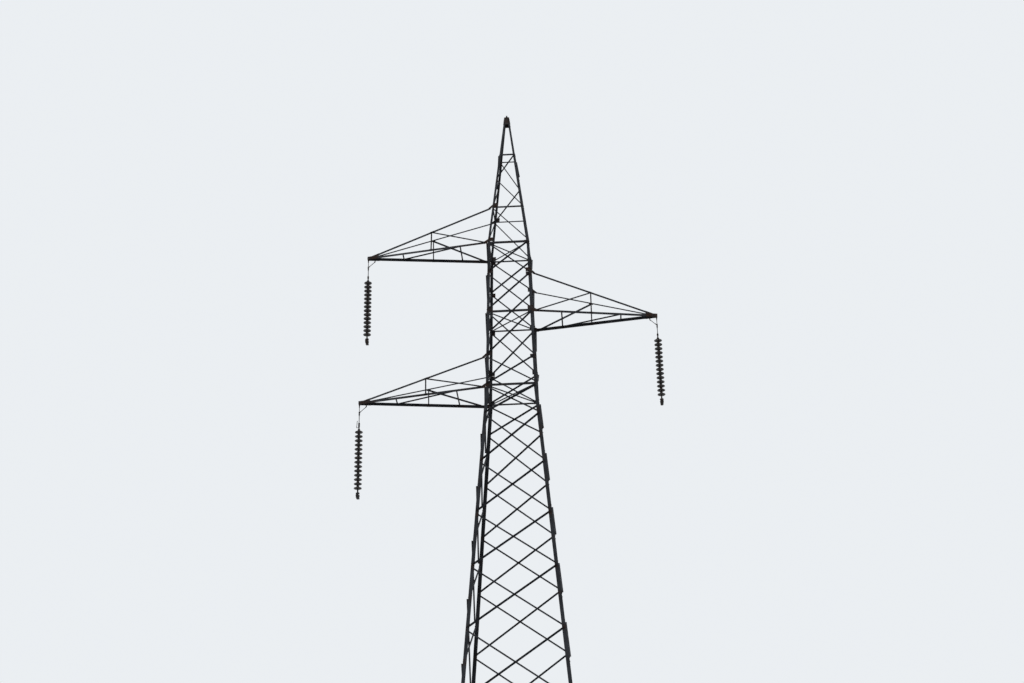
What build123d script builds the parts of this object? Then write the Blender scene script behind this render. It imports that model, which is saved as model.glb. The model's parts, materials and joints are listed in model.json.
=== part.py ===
from build123d import *
import os
from math import atan2, cos, hypot, sin

os.makedirs("parts", exist_ok=True)

# Heights above the ground
belt_level = 8800
lowest_panel_level = 11500
lower_arm_level = 24150

# Heights from one level up to another
lower_arm_rise = 1050
right_arm_rise = 1400
upper_arm_rise = 1400
lower_to_right_arm = 2650
right_to_upper_arm = 2600
upper_arm_to_peak_mid = 2550
upper_arm_to_peak_ring = 3600
upper_arm_to_cap = 5200

# Where crossed bars meet the legs, as shares of the height from the lowest panel to the lower arm.
# The panels of the side faces are half a panel off those of the front and back.
front_shares = [0, 0.19, 0.364, 0.518, 0.656, 0.79, 0.921]
side_shares = [0, 0.123, 0.285, 0.441, 0.587, 0.729, 0.87]

# Where the short bars of a portal meet its leg, as shares of the belt's height
portal_shares = [0.34, 0.67]

# Half widths of the square body, from the centre to the heels of the legs
half_at_ground = 2750
half_at_lower_arm = 805
half_at_upper_arm = 680
half_at_cap = 85

# Angle sections: width of a flange and its thickness
low_leg, low_leg_thick = 110, 10
waist_leg, waist_leg_thick = 90, 8
peak_leg, peak_leg_thick = 70, 7
top_leg, top_leg_thick = 60, 6
low_brace, waist_brace, peak_brace = 50, 45, 35
brace_thick = 5
portal_brace, portal_brace_thick = 75, 7
belt_bar = 70
ring_bar = 56
peak_ring_bar = 40
redundant_bar = 45
chord, chord_thick = 75, 7
top_chord, top_chord_thick = 40, 5
web_bar, post_bar = 45, 35
arm_strut, plan_diagonal = 45, 35

# Plates
plate_thick = 8
gusset_width = 170
gusset_height = 150
belt_gusset_width, belt_gusset_height = 460, 420
belt_seat_width, belt_seat_depth = 300, 150
portal_pack = 60
root_plate_reach = 130
root_plate_above = 90
bend_width = 12
web_plate = 130
web_plate_height = 65
tip_plate_reach = 360
tip_plate_rise = 35
tip_plate_overhang = 30
tip_plate_margin = 5
spreader_thick = 10
spreader_rise = 30

# Clearances, laps and set-backs
corner_gap = 4
heel_gap = 16
level_gap = 6
brace_lift, inner_lift = 45, 25
waist_lift = 60
waist_ring_lift, right_ring_lift = 100, 70
peak_ring_drop = 75
ring_corner = 45
ring_bite = 1.5
top_leg_lap = 150
centre_spread = 95
centre_lift = 110
portal_lift = 60
portal_top_drop = 200
chord_setback = 70
chord_end_gap = 60
chord_middle_gap = 2
top_chord_gap = 3
strut_drop = 6
strut_inset, diagonal_inset = 10, 30
post_lap = 20
diagonal_drop = 40
diagonal_foot = (85, -30)

# Footings and base plates
footing_side, footing_height = 800, 300
base_plate_side, base_plate_thick = 380, 25
foot_offset = 35

# Arms: distance from the tower's axis to the tip, and half the spacing and the fall of the chords there
upper_arm_reach = 4700
right_arm_reach = 4700
lower_arm_reach = 4900
tip_half = 30
tip_drop = 35
post_from_tip = 0.53
outer_strut_from_tip = 0.29
inner_strut_from_tip = 0.77

# Forks, pins and hangers
pin_radius = 8
pin_clearance = 0.5
pin_overhang = 6
lug_drop = 115
lug_radius = 25
fork_gap = 3
fork_width = 36
fork_above, fork_below = 18, 52
fork_throat = 7
cheek_thick = 6
rod_bite = 7
hanger_spread = 220
hanger_height = 285
hanger_rod_radius = 10
hanger_head_length, hanger_head_width, hanger_head_height = 60, 30, 16
hanger_head_rise = 52
hanger_head_offset = 6
eye_thick = 12
neck_width = 36

# Insulator strings
upper_left_link, right_link, lower_left_link = 436, 410, 520
string_rod_radius = 12
collar_radius, collar_height = 20, 70
socket_radius, socket_low = 28, 65
short_socket, long_socket = 70, 135
disc_count = 14
disc_pitch = 146
disc_radius = 127
cap_radius = 45
cap_depth = 78
crown_depth = 30
shell_neck_radius = 36.5
shell_clearance = 0.5
stem_radius = 12
stem_clearance = 1
stem_top = 84
horn_radius = 9
horn_foot, horn_tip = (78, 45), (58, 280)

# Underside of a shell, from its neck outwards and back, as shares of the disc's radius and of the spacing
shell_shares = [
    (0.472, 0.562),
    (0.953, 0.712),
    (1, 0.767),
    (0.976, 0.808),
    (0.819, 0.767),
    (0.787, 0.849),
    (0.732, 0.849),
    (0.709, 0.74),
    (0.583, 0.726),
    (0.551, 0.836),
    (0.496, 0.836),
    (0.472, 0.712),
    (0.346, 0.699),
    (0.315, 0.781),
    (0.236, 0.781),
    (0.22, 0.658),
]

# Bottom links and conductor clamps
bottom_link = 200
bridge_width, bridge_height, bridge_rise = 40, 50, 42
shank_radius = 24
strap_inner = 44
strap_width = 36
strap_lap = 20
trunnion_radius = 7
trunnion_overhang = 4
clamp_half_width = 38
clamp_length = 320
clamp_drop = 50
clamp_end, clamp_belly, clamp_crown = 24, 44, 34
clamp_ear = 50
conductor_radius = 11

# Peak cap and earth wire clamp
cap_skirt_height = 300
cap_skirt_thick = 6
cap_plate_thick = 12
earth_foot_width, earth_foot_height = 110, 14
earth_clamp_width, earth_clamp_length, earth_clamp_height = 44, 150, 74
earth_wire_rise = 48
earth_wire_radius = 6.5

lower_arm_top_level = lower_arm_level + lower_arm_rise
right_arm_level = lower_arm_level + lower_to_right_arm
right_arm_top_level = right_arm_level + right_arm_rise
upper_arm_level = right_arm_level + right_to_upper_arm
upper_arm_top_level = upper_arm_level + upper_arm_rise
peak_mid_level = upper_arm_level + upper_arm_to_peak_mid
peak_ring_level = upper_arm_level + upper_arm_to_peak_ring
cap_level = upper_arm_level + upper_arm_to_cap


class Section:
    # A stretch of the body with straight legs, and the plane of its front face
    def __init__(self, low, half_low, high, half_high, leg, leg_thick):
        self.low, self.high = low, high
        self.half_low = half_low
        self.slope = (half_low - half_high) / (high - low)
        self.tilt = cos(atan2(half_low - half_high, high - low))
        self.leg, self.leg_thick = leg, leg_thick
        lean = sin(atan2(half_low - half_high, high - low))
        self.plane = Plane(origin=(0, -half_low, low), x_dir=(1, 0, 0), z_dir=(0, -self.tilt, lean))

    def half(self, z):
        return self.half_low - self.slope * (z - self.low)

    # A point of the front face, set in from the heel of the left (-1) or right (1) leg
    def at(self, side, inset, z):
        return (side * (self.half(z) - inset), (z - self.low) / self.tilt)

    # One point of the heel line of the leg at the near side of +X
    def heel(self, z):
        return Vector(self.half(z), -self.half(z), z)


base = Section(0, half_at_ground, lower_arm_level, half_at_lower_arm, low_leg, low_leg_thick)
waist = Section(
    lower_arm_level, half_at_lower_arm, upper_arm_level, half_at_upper_arm, waist_leg, waist_leg_thick
)
peak = Section(upper_arm_level, half_at_upper_arm, cap_level, half_at_cap, peak_leg, peak_leg_thick)
faces = ["front", "right", "back", "left"]


def save(name, solids):
    export_step(Compound(solids), f"parts/{name}.step")


def turned(solid, quarters):
    return solid.rotate(Axis.Z, 90 * quarters)


def fused(solids):
    return (Part() + list(solids)).solids()


# A prism on a polygon of the plane, between two heights over it
def prism(plane, points, low, high):
    corners = [plane.from_local_coords((u, v, low)) for u, v in points]
    return Solid.extrude(Face(Wire.make_polygon(corners)), plane.z_dir * (high - low))


def rectangle(centre, width, height):
    u, v = centre
    a, b = width / 2, height / 2
    return [(u - a, v - b), (u + a, v - b), (u + a, v + b), (u - a, v + b)]


# An angle section in a plane. Its flat flange lies on the height over, on the side that stand gives,
# and its other flange stands up from the edge, which is the given distance above the line,
# or under it where the edge is the low one (-1).
def angle_bar(plane, start, end, width, thick, over, stand, edge=None, edge_side=1):
    edge = width / 2 if edge is None else edge
    run, rise = end[0] - start[0], end[1] - start[1]
    length = hypot(run, rise)
    turn = edge_side if run > 0 else -edge_side
    across = (-turn * rise / length, turn * run / length)
    profile = [
        (edge - width, 0),
        (edge, 0),
        (edge, width),
        (edge - thick, width),
        (edge - thick, thick),
        (edge - width, thick),
    ]
    corners = [
        plane.from_local_coords((start[0] + across[0] * a, start[1] + across[1] * a, over + stand * b))
        for a, b in profile
    ]
    path = plane.from_local_coords(end) - plane.from_local_coords(start)
    return Solid.extrude(Face(Wire.make_polygon(corners)), path)


def crossing(a, b, c, d):
    ru, rv = b[0] - a[0], b[1] - a[1]
    su, sv = d[0] - c[0], d[1] - c[1]
    share = ((c[0] - a[0]) * sv - (c[1] - a[1]) * su) / (ru * sv - rv * su)
    return (a[0] + share * ru, a[1] + share * rv)


# The leg at the near side of -X, as a prism that leans along its heel line
def leg(section, low, high, width, thick, step=0):
    across = thick / section.tilt
    heel = -(section.half(low) - step / section.tilt)
    outline = [
        (heel, heel),
        (heel + width, heel),
        (heel + width, heel + across),
        (heel + across, heel + across),
        (heel + across, heel + width),
        (heel, heel + width),
    ]
    lean = section.half(low) - section.half(high)
    foot = Face(Wire.make_polygon([(x, y, low) for x, y in outline]))
    return Solid.extrude(foot, Vector(lean, lean, high - low))


def four(solid):
    return [turned(solid, quarter) for quarter in range(4)]


# How far in from a heel the crossed bars on the inside start
def inner_inset(section, width):
    return section.leg_thick + width


# Short bars start further in, because those of two faces end at one height
def corner_inset(section, width):
    return section.leg_thick + width + corner_gap + width / 2


def outer_inset(width):
    return heel_gap + width / 2


def outer_bar(section, width, low_z, high_z, over=0):
    start = section.at(-1, outer_inset(width), low_z)
    end = section.at(1, outer_inset(width), high_z)
    return start, end, angle_bar(section.plane, start, end, width, brace_thick, over, 1)


def inner_bar(section, width, low_z, high_z):
    start = section.at(1, inner_inset(section, width), low_z)
    end = section.at(-1, inner_inset(section, width), high_z)
    back = -section.leg_thick
    return start, end, angle_bar(section.plane, start, end, width, brace_thick, back, -1)


# Two crossed bars, one outside the legs and one inside, with a packing piece where they cross
def crossed_bars(section, width, low_z, high_z, lift, inner_low_lift, inner_high_lift, over=0):
    a, b, outer = outer_bar(section, width, low_z + lift, high_z - lift, over)
    c, d, inner = inner_bar(section, width, low_z + inner_low_lift, high_z - inner_high_lift)
    middle = rectangle(crossing(a, b, c, d), width * 0.8, width * 0.8)
    packing = prism(section.plane, middle, -section.leg_thick, over)
    return fused([outer, inner, packing])


# A level bar inside the legs of the front face, with its lower edge at a height.
# Its second flange points inwards from the upper edge, or from the lower one (-1).
def level_bar(section, width, z, thick=brace_thick, behind=None, edge_side=1):
    back = section.leg_thick if behind is None else behind
    inset = back + width + corner_gap
    start = section.at(-1, inset, z + width / 2)
    end = section.at(1, inset, z + width / 2)
    return angle_bar(section.plane, start, end, width, thick, -back, -1, None, edge_side)


# Footings, base plates and legs
foot_centre = -(base.half(footing_height) - foot_offset)
leg_foot = footing_height + base_plate_thick


def block(centre, size_x, size_y, low, high):
    x, y = centre
    return Pos(x, y, (low + high) / 2) * Box(size_x, size_y, high - low)


footing = block((foot_centre, foot_centre), footing_side, footing_side, 0, footing_height)
base_plate = block((foot_centre, foot_centre), base_plate_side, base_plate_side, footing_height, leg_foot)
save("footings", four(footing))
save("base_plates", four(base_plate))
save("lower_legs", four(leg(base, leg_foot, lower_arm_level, low_leg, low_leg_thick)))
save("waist_legs", four(leg(waist, lower_arm_level, upper_arm_level, waist_leg, waist_leg_thick)))
save("peak_legs", four(leg(peak, upper_arm_level, peak_ring_level, peak_leg, peak_leg_thick)))
top_leg_low = peak_ring_level - top_leg_lap
top_leg_high = cap_level - cap_plate_thick
save("top_legs", four(leg(peak, top_leg_low, top_leg_high, top_leg, top_leg_thick, peak_leg_thick)))

# Crossed bracing of the tapered lower body, one node a face
def lower_panels(shares):
    height = lower_arm_level - lowest_panel_level
    levels = [lowest_panel_level + share * height for share in shares] + [lower_arm_level]
    bars = []
    for low, high in zip(levels, levels[1:]):
        bars += crossed_bars(base, low_brace, low, high, brace_lift, inner_lift, brace_lift)
    return bars


front_panels = lower_panels(front_shares)
side_panels = lower_panels(side_shares)
for quarter, face in enumerate(faces):
    panels = side_panels if quarter % 2 else front_panels
    save(f"lower_bracing_{face}", [turned(bar, quarter) for bar in panels])

# Belt over the portals: on each face a level bar, a centre gusset, two bars up to the legs and a level seat
belt_v = belt_level / base.tilt
belt_inner = base.half(belt_level) - low_leg_thick - brace_thick
seat_z = belt_level + (belt_bar + brace_thick) / 2
centre_gusset = rectangle((0, belt_v), belt_gusset_width, belt_gusset_height)
belt_side = [
    level_bar(base, belt_bar, belt_level - belt_bar / 2),
    prism(base.plane, centre_gusset, -low_leg_thick, 0),
    block(
        (0, belt_seat_depth / 2 - belt_inner),
        belt_seat_width,
        belt_seat_depth,
        seat_z - plate_thick,
        seat_z,
    ),
]
for side in (-1, 1):
    top = base.at(side, outer_inset(low_brace), lowest_panel_level - brace_lift)
    middle = (side * centre_spread, belt_v + centre_lift)
    belt_side.append(angle_bar(base.plane, middle, top, low_brace, brace_thick, 0, 1))
save("belt", [turned(side, quarter) for quarter in range(4) for side in fused(belt_side)])

# A diamond of plan bars that lie on the four seats
diamond_plane = Plane(origin=(0, 0, seat_z))
diamond_reach = belt_inner - low_brace
diamond_bar = angle_bar(
    diamond_plane, (low_brace, -diamond_reach), (diamond_reach, -low_brace), low_brace, brace_thick, 0, 1
)
save("belt_diamond", four(diamond_bar))


# Portals: a main brace from each foot to the middle of the belt, and short bars from it to the leg
def portal_half(side):
    foot = base.at(side, outer_inset(portal_brace), leg_foot + portal_lift)
    top = (side * centre_spread, belt_v - centre_lift)
    inside = -low_leg_thick
    pieces = [angle_bar(base.plane, foot, top, portal_brace, portal_brace_thick, 0, 1)]
    inset = corner_inset(base, redundant_bar)
    levels = [share * belt_level for share in portal_shares]
    at_brace = []
    for z in levels:
        leg_end = base.at(side, inset, z)
        meet = crossing(foot, top, leg_end, (0, leg_end[1]))
        at_brace.append(meet)
        pieces.append(prism(base.plane, rectangle(meet, portal_pack, portal_pack), inside, 0))
        pieces.append(angle_bar(base.plane, leg_end, meet, redundant_bar, brace_thick, inside, -1))
    for z, meet in zip(levels[1:] + [belt_level - portal_top_drop], at_brace):
        leg_end = base.at(side, inset, z)
        pieces.append(angle_bar(base.plane, meet, leg_end, redundant_bar, brace_thick, inside, -1))
    return fused(pieces)


portal = portal_half(-1) + portal_half(1)
save("portal_bracing", [turned(half, quarter) for quarter in range(4) for half in portal])

# Waist: crossed bracing on gusset plates, and three levels of rings with crossed plan bars
waist_levels = [
    lower_arm_level,
    lower_arm_top_level,
    right_arm_level,
    right_arm_top_level,
    upper_arm_level,
]
ring_lifts = {
    lower_arm_level: waist_ring_lift,
    right_arm_level: right_ring_lift,
    upper_arm_level: waist_ring_lift,
}
waist_panels = []
for low, high in zip(waist_levels, waist_levels[1:]):
    low_lift = ring_lifts.get(low, inner_lift)
    high_lift = ring_lifts.get(high, waist_lift)
    waist_panels += crossed_bars(
        waist, waist_brace, low, high, waist_lift, low_lift, high_lift, plate_thick
    )
for quarter, face in enumerate(faces):
    save(f"waist_bracing_{face}", [turned(bar, quarter) for bar in waist_panels])


# A gusset plate on the front face, from the heel of one leg inwards
def gusset(side, low, high):
    outline = [
        waist.at(side, heel_gap / 2, low),
        waist.at(side, gusset_width, low),
        waist.at(side, gusset_width, high),
        waist.at(side, heel_gap / 2, high),
    ]
    return prism(waist.plane, outline, 0, plate_thick)


# The bent plates at the roots of the arms take the place of four of these gussets
arm_seats = {(0, lower_arm_level), (0, lower_arm_top_level), (2, right_arm_level), (2, right_arm_top_level)}
gussets = []
for quarter in range(4):
    for level in waist_levels[:-1]:
        if (quarter, level) not in arm_seats:
            gussets.append(turned(gusset(-1, level + level_gap, level + gusset_height), quarter))
    for level in waist_levels[1:]:
        gussets.append(turned(gusset(1, level - gusset_height, level - level_gap), quarter))
save("waist_gussets", gussets)


def ring(z):
    sides = four(level_bar(waist, ring_bar, z, edge_side=-1))
    corner = waist.half(z) - ring_corner
    plan = Plane(origin=(0, 0, z + brace_thick - ring_bite))
    bars = [
        angle_bar(plan, (-corner, -corner), (corner, corner), waist_brace, brace_thick, 0, 1),
        angle_bar(plan, (-corner, corner), (corner, -corner), waist_brace, brace_thick, 0, 1),
    ]
    return fused(sides + bars)


ring_starts = [
    lower_arm_level + level_gap,
    right_arm_level - ring_bar / 2,
    upper_arm_level - ring_bar - level_gap,
]
save("waist_rings", [solid for z in ring_starts for solid in ring(z)])

# Peak: zigzag bars, two rings and the cap
zigzag = [
    inner_bar(peak, peak_brace, upper_arm_top_level + brace_lift, peak_mid_level - brace_lift)[2],
    outer_bar(peak, peak_brace, peak_mid_level + brace_lift, peak_ring_level - brace_lift)[2],
]
shoulder_low = upper_arm_level + brace_lift
shoulder_inner = inner_bar(peak, peak_brace, shoulder_low, upper_arm_top_level - peak_ring_drop)[2]
shoulder_outer = outer_bar(peak, peak_brace, shoulder_low, upper_arm_top_level - brace_lift)[2]
peak_bars = [turned(bar, quarter) for quarter in range(4) for bar in zigzag]
peak_bars += [turned(shoulder_inner, quarter) for quarter in (0, 1, 3)]
peak_bars.append(turned(shoulder_outer, 2))
save("peak_bracing", peak_bars)
top_inside = peak_leg_thick + top_leg_thick
low_ring_start = upper_arm_top_level - peak_ring_bar / 2
high_ring_start = peak_ring_level - peak_ring_bar / 2
low_ring = four(level_bar(peak, peak_ring_bar, low_ring_start, edge_side=-1))
high_ring = four(level_bar(peak, peak_ring_bar, high_ring_start, brace_thick, top_inside, -1))
save("peak_rings", low_ring + high_ring)


# A square frustum inside the heels of the body's legs, set in by a distance square to its faces
def frustum(low, high, inset):
    rings = []
    for z in (low, high):
        reach = 2 * (peak.half(z) - inset / peak.tilt)
        rings.append(Pos(0, 0, z) * Rectangle(reach, reach).face())
    return loft(rings)


skirt_low = cap_level - cap_skirt_height
skirt_high = cap_level - cap_plate_thick
skirt = frustum(skirt_low, skirt_high, peak_leg_thick - cap_skirt_thick) - frustum(
    skirt_low, skirt_high, peak_leg_thick
)
cap_side = 2 * peak.half(skirt_high)
cap_plate = block((0, 0), cap_side, cap_side, skirt_high, cap_level)
save("peak_cap", fused([skirt, cap_plate]))

foot_top = cap_level + earth_foot_height
clamp_foot = block((0, 0), earth_foot_width, earth_clamp_length, cap_level, foot_top)
clamp_top = cap_level + earth_clamp_height
clamp_body = block((0, 0), earth_clamp_width, earth_clamp_length, foot_top, clamp_top)
earth_bore = Rot(90, 0, 0) * Cylinder(earth_wire_radius, 2 * earth_clamp_length)
earth_clamp = [clamp_foot, clamp_body - Pos(0, 0, cap_level + earth_wire_rise) * earth_bore]
save("earth_wire_clamp", fused(earth_clamp))


# Arms are worked out towards +X and turned half round for the left side
def side_plane(section, level, top_level, reach):
    a = section.heel(level)
    b = section.heel(top_level)
    tip = Vector(reach, -tip_half, level - tip_drop)
    x_dir = (tip - a).normalized()
    plane = Plane(origin=a, x_dir=x_dir, z_dir=x_dir.cross(b - a).normalized())
    local_b = plane.to_local_coords(b)
    return plane, (tip - a).length, (local_b.X, local_b.Y)


# Both sides of an arm: the near one and its mirror image
def both(solids):
    return solids + [solid.mirror(Plane.XZ) for solid in solids]


# A plate bent at the heel line: one leaf on the leg, one along a chord of the arm that falls by a slope
def root_plate(section, plane, root, level, depth, slope):
    leaf = [
        section.at(1, 0, level + level_gap),
        section.at(1, gusset_width, level + level_gap),
        section.at(1, gusset_width, level + gusset_height),
        section.at(1, 0, level + gusset_height),
    ]
    on_leg = prism(section.plane, leaf, 0, plate_thick)
    up = plane.to_local_coords(section.heel(section.high)) - plane.to_local_coords(section.heel(section.low))
    up = up.normalized()

    def on_heel(rise, out=0):
        return (root[0] + up.X * rise + out, root[1] + up.Y * rise)

    def at_reach(rise):
        return (root[0] + root_plate_reach, root[1] + rise - slope * root_plate_reach)

    wing = [
        on_heel(level_gap),
        on_heel(-depth, heel_gap),
        at_reach(-depth),
        at_reach(level_gap),
        on_heel(root_plate_above),
    ]
    fold = [
        on_heel(level_gap, -bend_width),
        on_heel(level_gap),
        on_heel(root_plate_above),
        on_heel(root_plate_above, -bend_width),
    ]
    on_arm = prism(plane, wing, 0, plate_thick)
    bent = prism(plane, fold, 0, plate_thick)
    return fused([on_leg, on_arm, bent])


def arm(name, section, level, top_level, reach, quarters):
    plane, length, root = side_plane(section, level, top_level, reach)
    slope = root[1] / (length - root[0])
    slant = hypot(root[1], length - root[0])
    fall = ((length - root[0]) / slant, -root[1] / slant)

    # Bottom chords, cut back where they would meet, the bars between them, and the inner hanger lug
    tip_level = level - tip_drop
    chord_start, chord_end = (chord_setback, 0), (length - chord_end_gap, 0)
    bottom = angle_bar(plane, chord_start, chord_end, chord, chord_thick, 0, -1, 0)
    beyond = block((reach, chord - chord_middle_gap), reach, 2 * chord, tip_level - 2 * chord, level + chord)
    frame = both([bottom - beyond])
    root_half = section.half(level)
    span = reach - root_half
    flat = Plane(
        origin=(root_half, 0, level - strut_drop), x_dir=(span, 0, -tip_drop), z_dir=(tip_drop, 0, span)
    )

    def chord_point(from_tip, side, inset):
        x = (1 - from_tip) * hypot(span, tip_drop)
        y = tip_half + from_tip * (root_half - tip_half)
        return (x, side * (y - chord_thick - inset))

    for from_tip in (outer_strut_from_tip, inner_strut_from_tip):
        near, far = chord_point(from_tip, -1, strut_inset), chord_point(from_tip, 1, strut_inset)
        frame.append(angle_bar(flat, far, near, arm_strut, brace_thick, 0, -1))
    start = chord_point(outer_strut_from_tip, -1, diagonal_inset)
    stop = chord_point(inner_strut_from_tip, 1, diagonal_inset)
    diagonal_side = 1 - quarters
    frame.append(angle_bar(flat, start, stop, plan_diagonal, brace_thick, 0, -1, None, diagonal_side))
    lug_z = tip_level - lug_drop
    chord_low = tip_level - chord

    def lug(x, half_width, top):
        board = block((x, 0), spreader_thick, 2 * half_width, chord_low, top)
        neck = block((x, 0), spreader_thick, 2 * lug_radius, lug_z, chord_low)
        across = Pos(x, 0, lug_z) * Rot(0, 90, 0)
        eye = across * Cylinder(lug_radius, spreader_thick)
        return (board + neck + eye) - across * Cylinder(pin_radius + pin_clearance, 2 * spreader_thick)

    inner_half = tip_half + hanger_spread / span * (root_half - tip_half) - chord_thick / 2
    frame.append(lug(reach - hanger_spread, inner_half, tip_level - 2 * spreader_thick))
    save(f"{name}_bottom_frame", [turned(s, quarters) for s in fused(frame)])

    # Top chords
    stop_short = (top_chord_gap + top_chord * fall[0]) / -fall[1]
    begin = (root[0] + fall[0] * chord_setback, root[1] + fall[1] * chord_setback)
    finish = (length - fall[0] * stop_short, -fall[1] * stop_short)
    top = angle_bar(plane, begin, finish, top_chord, top_chord_thick, 0, -1, top_chord, -1)
    save(f"{name}_top_chords", [turned(s, quarters) for s in both([top])])

    # Posts and diagonals, raised on small plates
    post_u = length * (1 - post_from_tip)
    post_v = slope * (length - post_u)
    half_plate = web_plate / 2
    low_plate = rectangle((post_u, -chord / 2), web_plate, chord)
    high_plate = [
        (post_u - half_plate, post_v - web_plate_height + half_plate * slope),
        (post_u + half_plate, post_v - web_plate_height - half_plate * slope),
        (post_u + half_plate, post_v - half_plate * slope),
        (post_u - half_plate, post_v + half_plate * slope),
    ]
    post_foot, post_head = (post_u, post_lap - chord), (post_u, post_v - post_lap)
    diagonal_head = (post_u, post_v - diagonal_drop)
    web = fused(
        [
            prism(plane, low_plate, 0, plate_thick),
            prism(plane, high_plate, 0, plate_thick),
            angle_bar(plane, post_foot, post_head, post_bar, brace_thick, plate_thick, 1),
            angle_bar(plane, diagonal_head, diagonal_foot, web_bar, brace_thick, plate_thick, 1, None, -1),
        ]
    )
    save(f"{name}_web_members", [turned(s, quarters) for s in both(web)])

    # Tip plates and the outer hanger lug
    tip_start, tip_end = length - tip_plate_reach, length + tip_plate_overhang
    tip_outline = [
        (tip_start, -chord - tip_plate_margin),
        (tip_end, -chord - tip_plate_margin),
        (tip_end, tip_plate_rise),
        (length - tip_plate_rise / slope, tip_plate_rise),
        (tip_start, tip_plate_reach * slope),
    ]
    plates = both([prism(plane, tip_outline, 0, plate_thick)])
    plates.append(lug(reach, tip_half + plate_thick / 2, tip_level + spreader_rise))
    save(f"{name}_tip_plates", [turned(s, quarters) for s in fused(plates)])

    # Plates that fasten the chords to the legs
    low_root = root_plate(section, plane, (0, 0), level, chord + level_gap, 0)
    high_root = root_plate(section, plane, root, top_level, top_chord + level_gap, slope)
    return [turned(s, quarters) for s in both(low_root + high_root)]


arms = [
    ("upper_left_arm", peak, upper_arm_level, upper_arm_top_level, upper_arm_reach, 2),
    ("right_arm", waist, right_arm_level, right_arm_top_level, right_arm_reach, 0),
    ("lower_left_arm", waist, lower_arm_level, lower_arm_top_level, lower_arm_reach, 2),
]
save("arm_root_plates", [plate for values in arms for plate in arm(*values)])


# A forked block on a pin along X, open upwards, or along Y after a quarter turn
def fork(x, z, lug_thick, quarters=0):
    inner = lug_thick / 2 + fork_gap
    outer = inner + cheek_thick
    body = block((0, 0), 2 * outer, fork_width, -fork_below, fork_above)
    slot = block((0, 0), 2 * inner, 2 * fork_width, -(lug_radius + fork_throat), 2 * fork_above)
    pin = Rot(0, 90, 0) * Cylinder(pin_radius, 2 * (outer + pin_overhang))
    return Pos(x, 0, z) * (Rot(0, 0, 90 * quarters) * ((body - slot) + pin))


def rod(start, stop, radius):
    way = Vector(*stop) - Vector(*start)
    return Solid.make_cylinder(radius, way.length, Plane(origin=start, z_dir=way))


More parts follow.
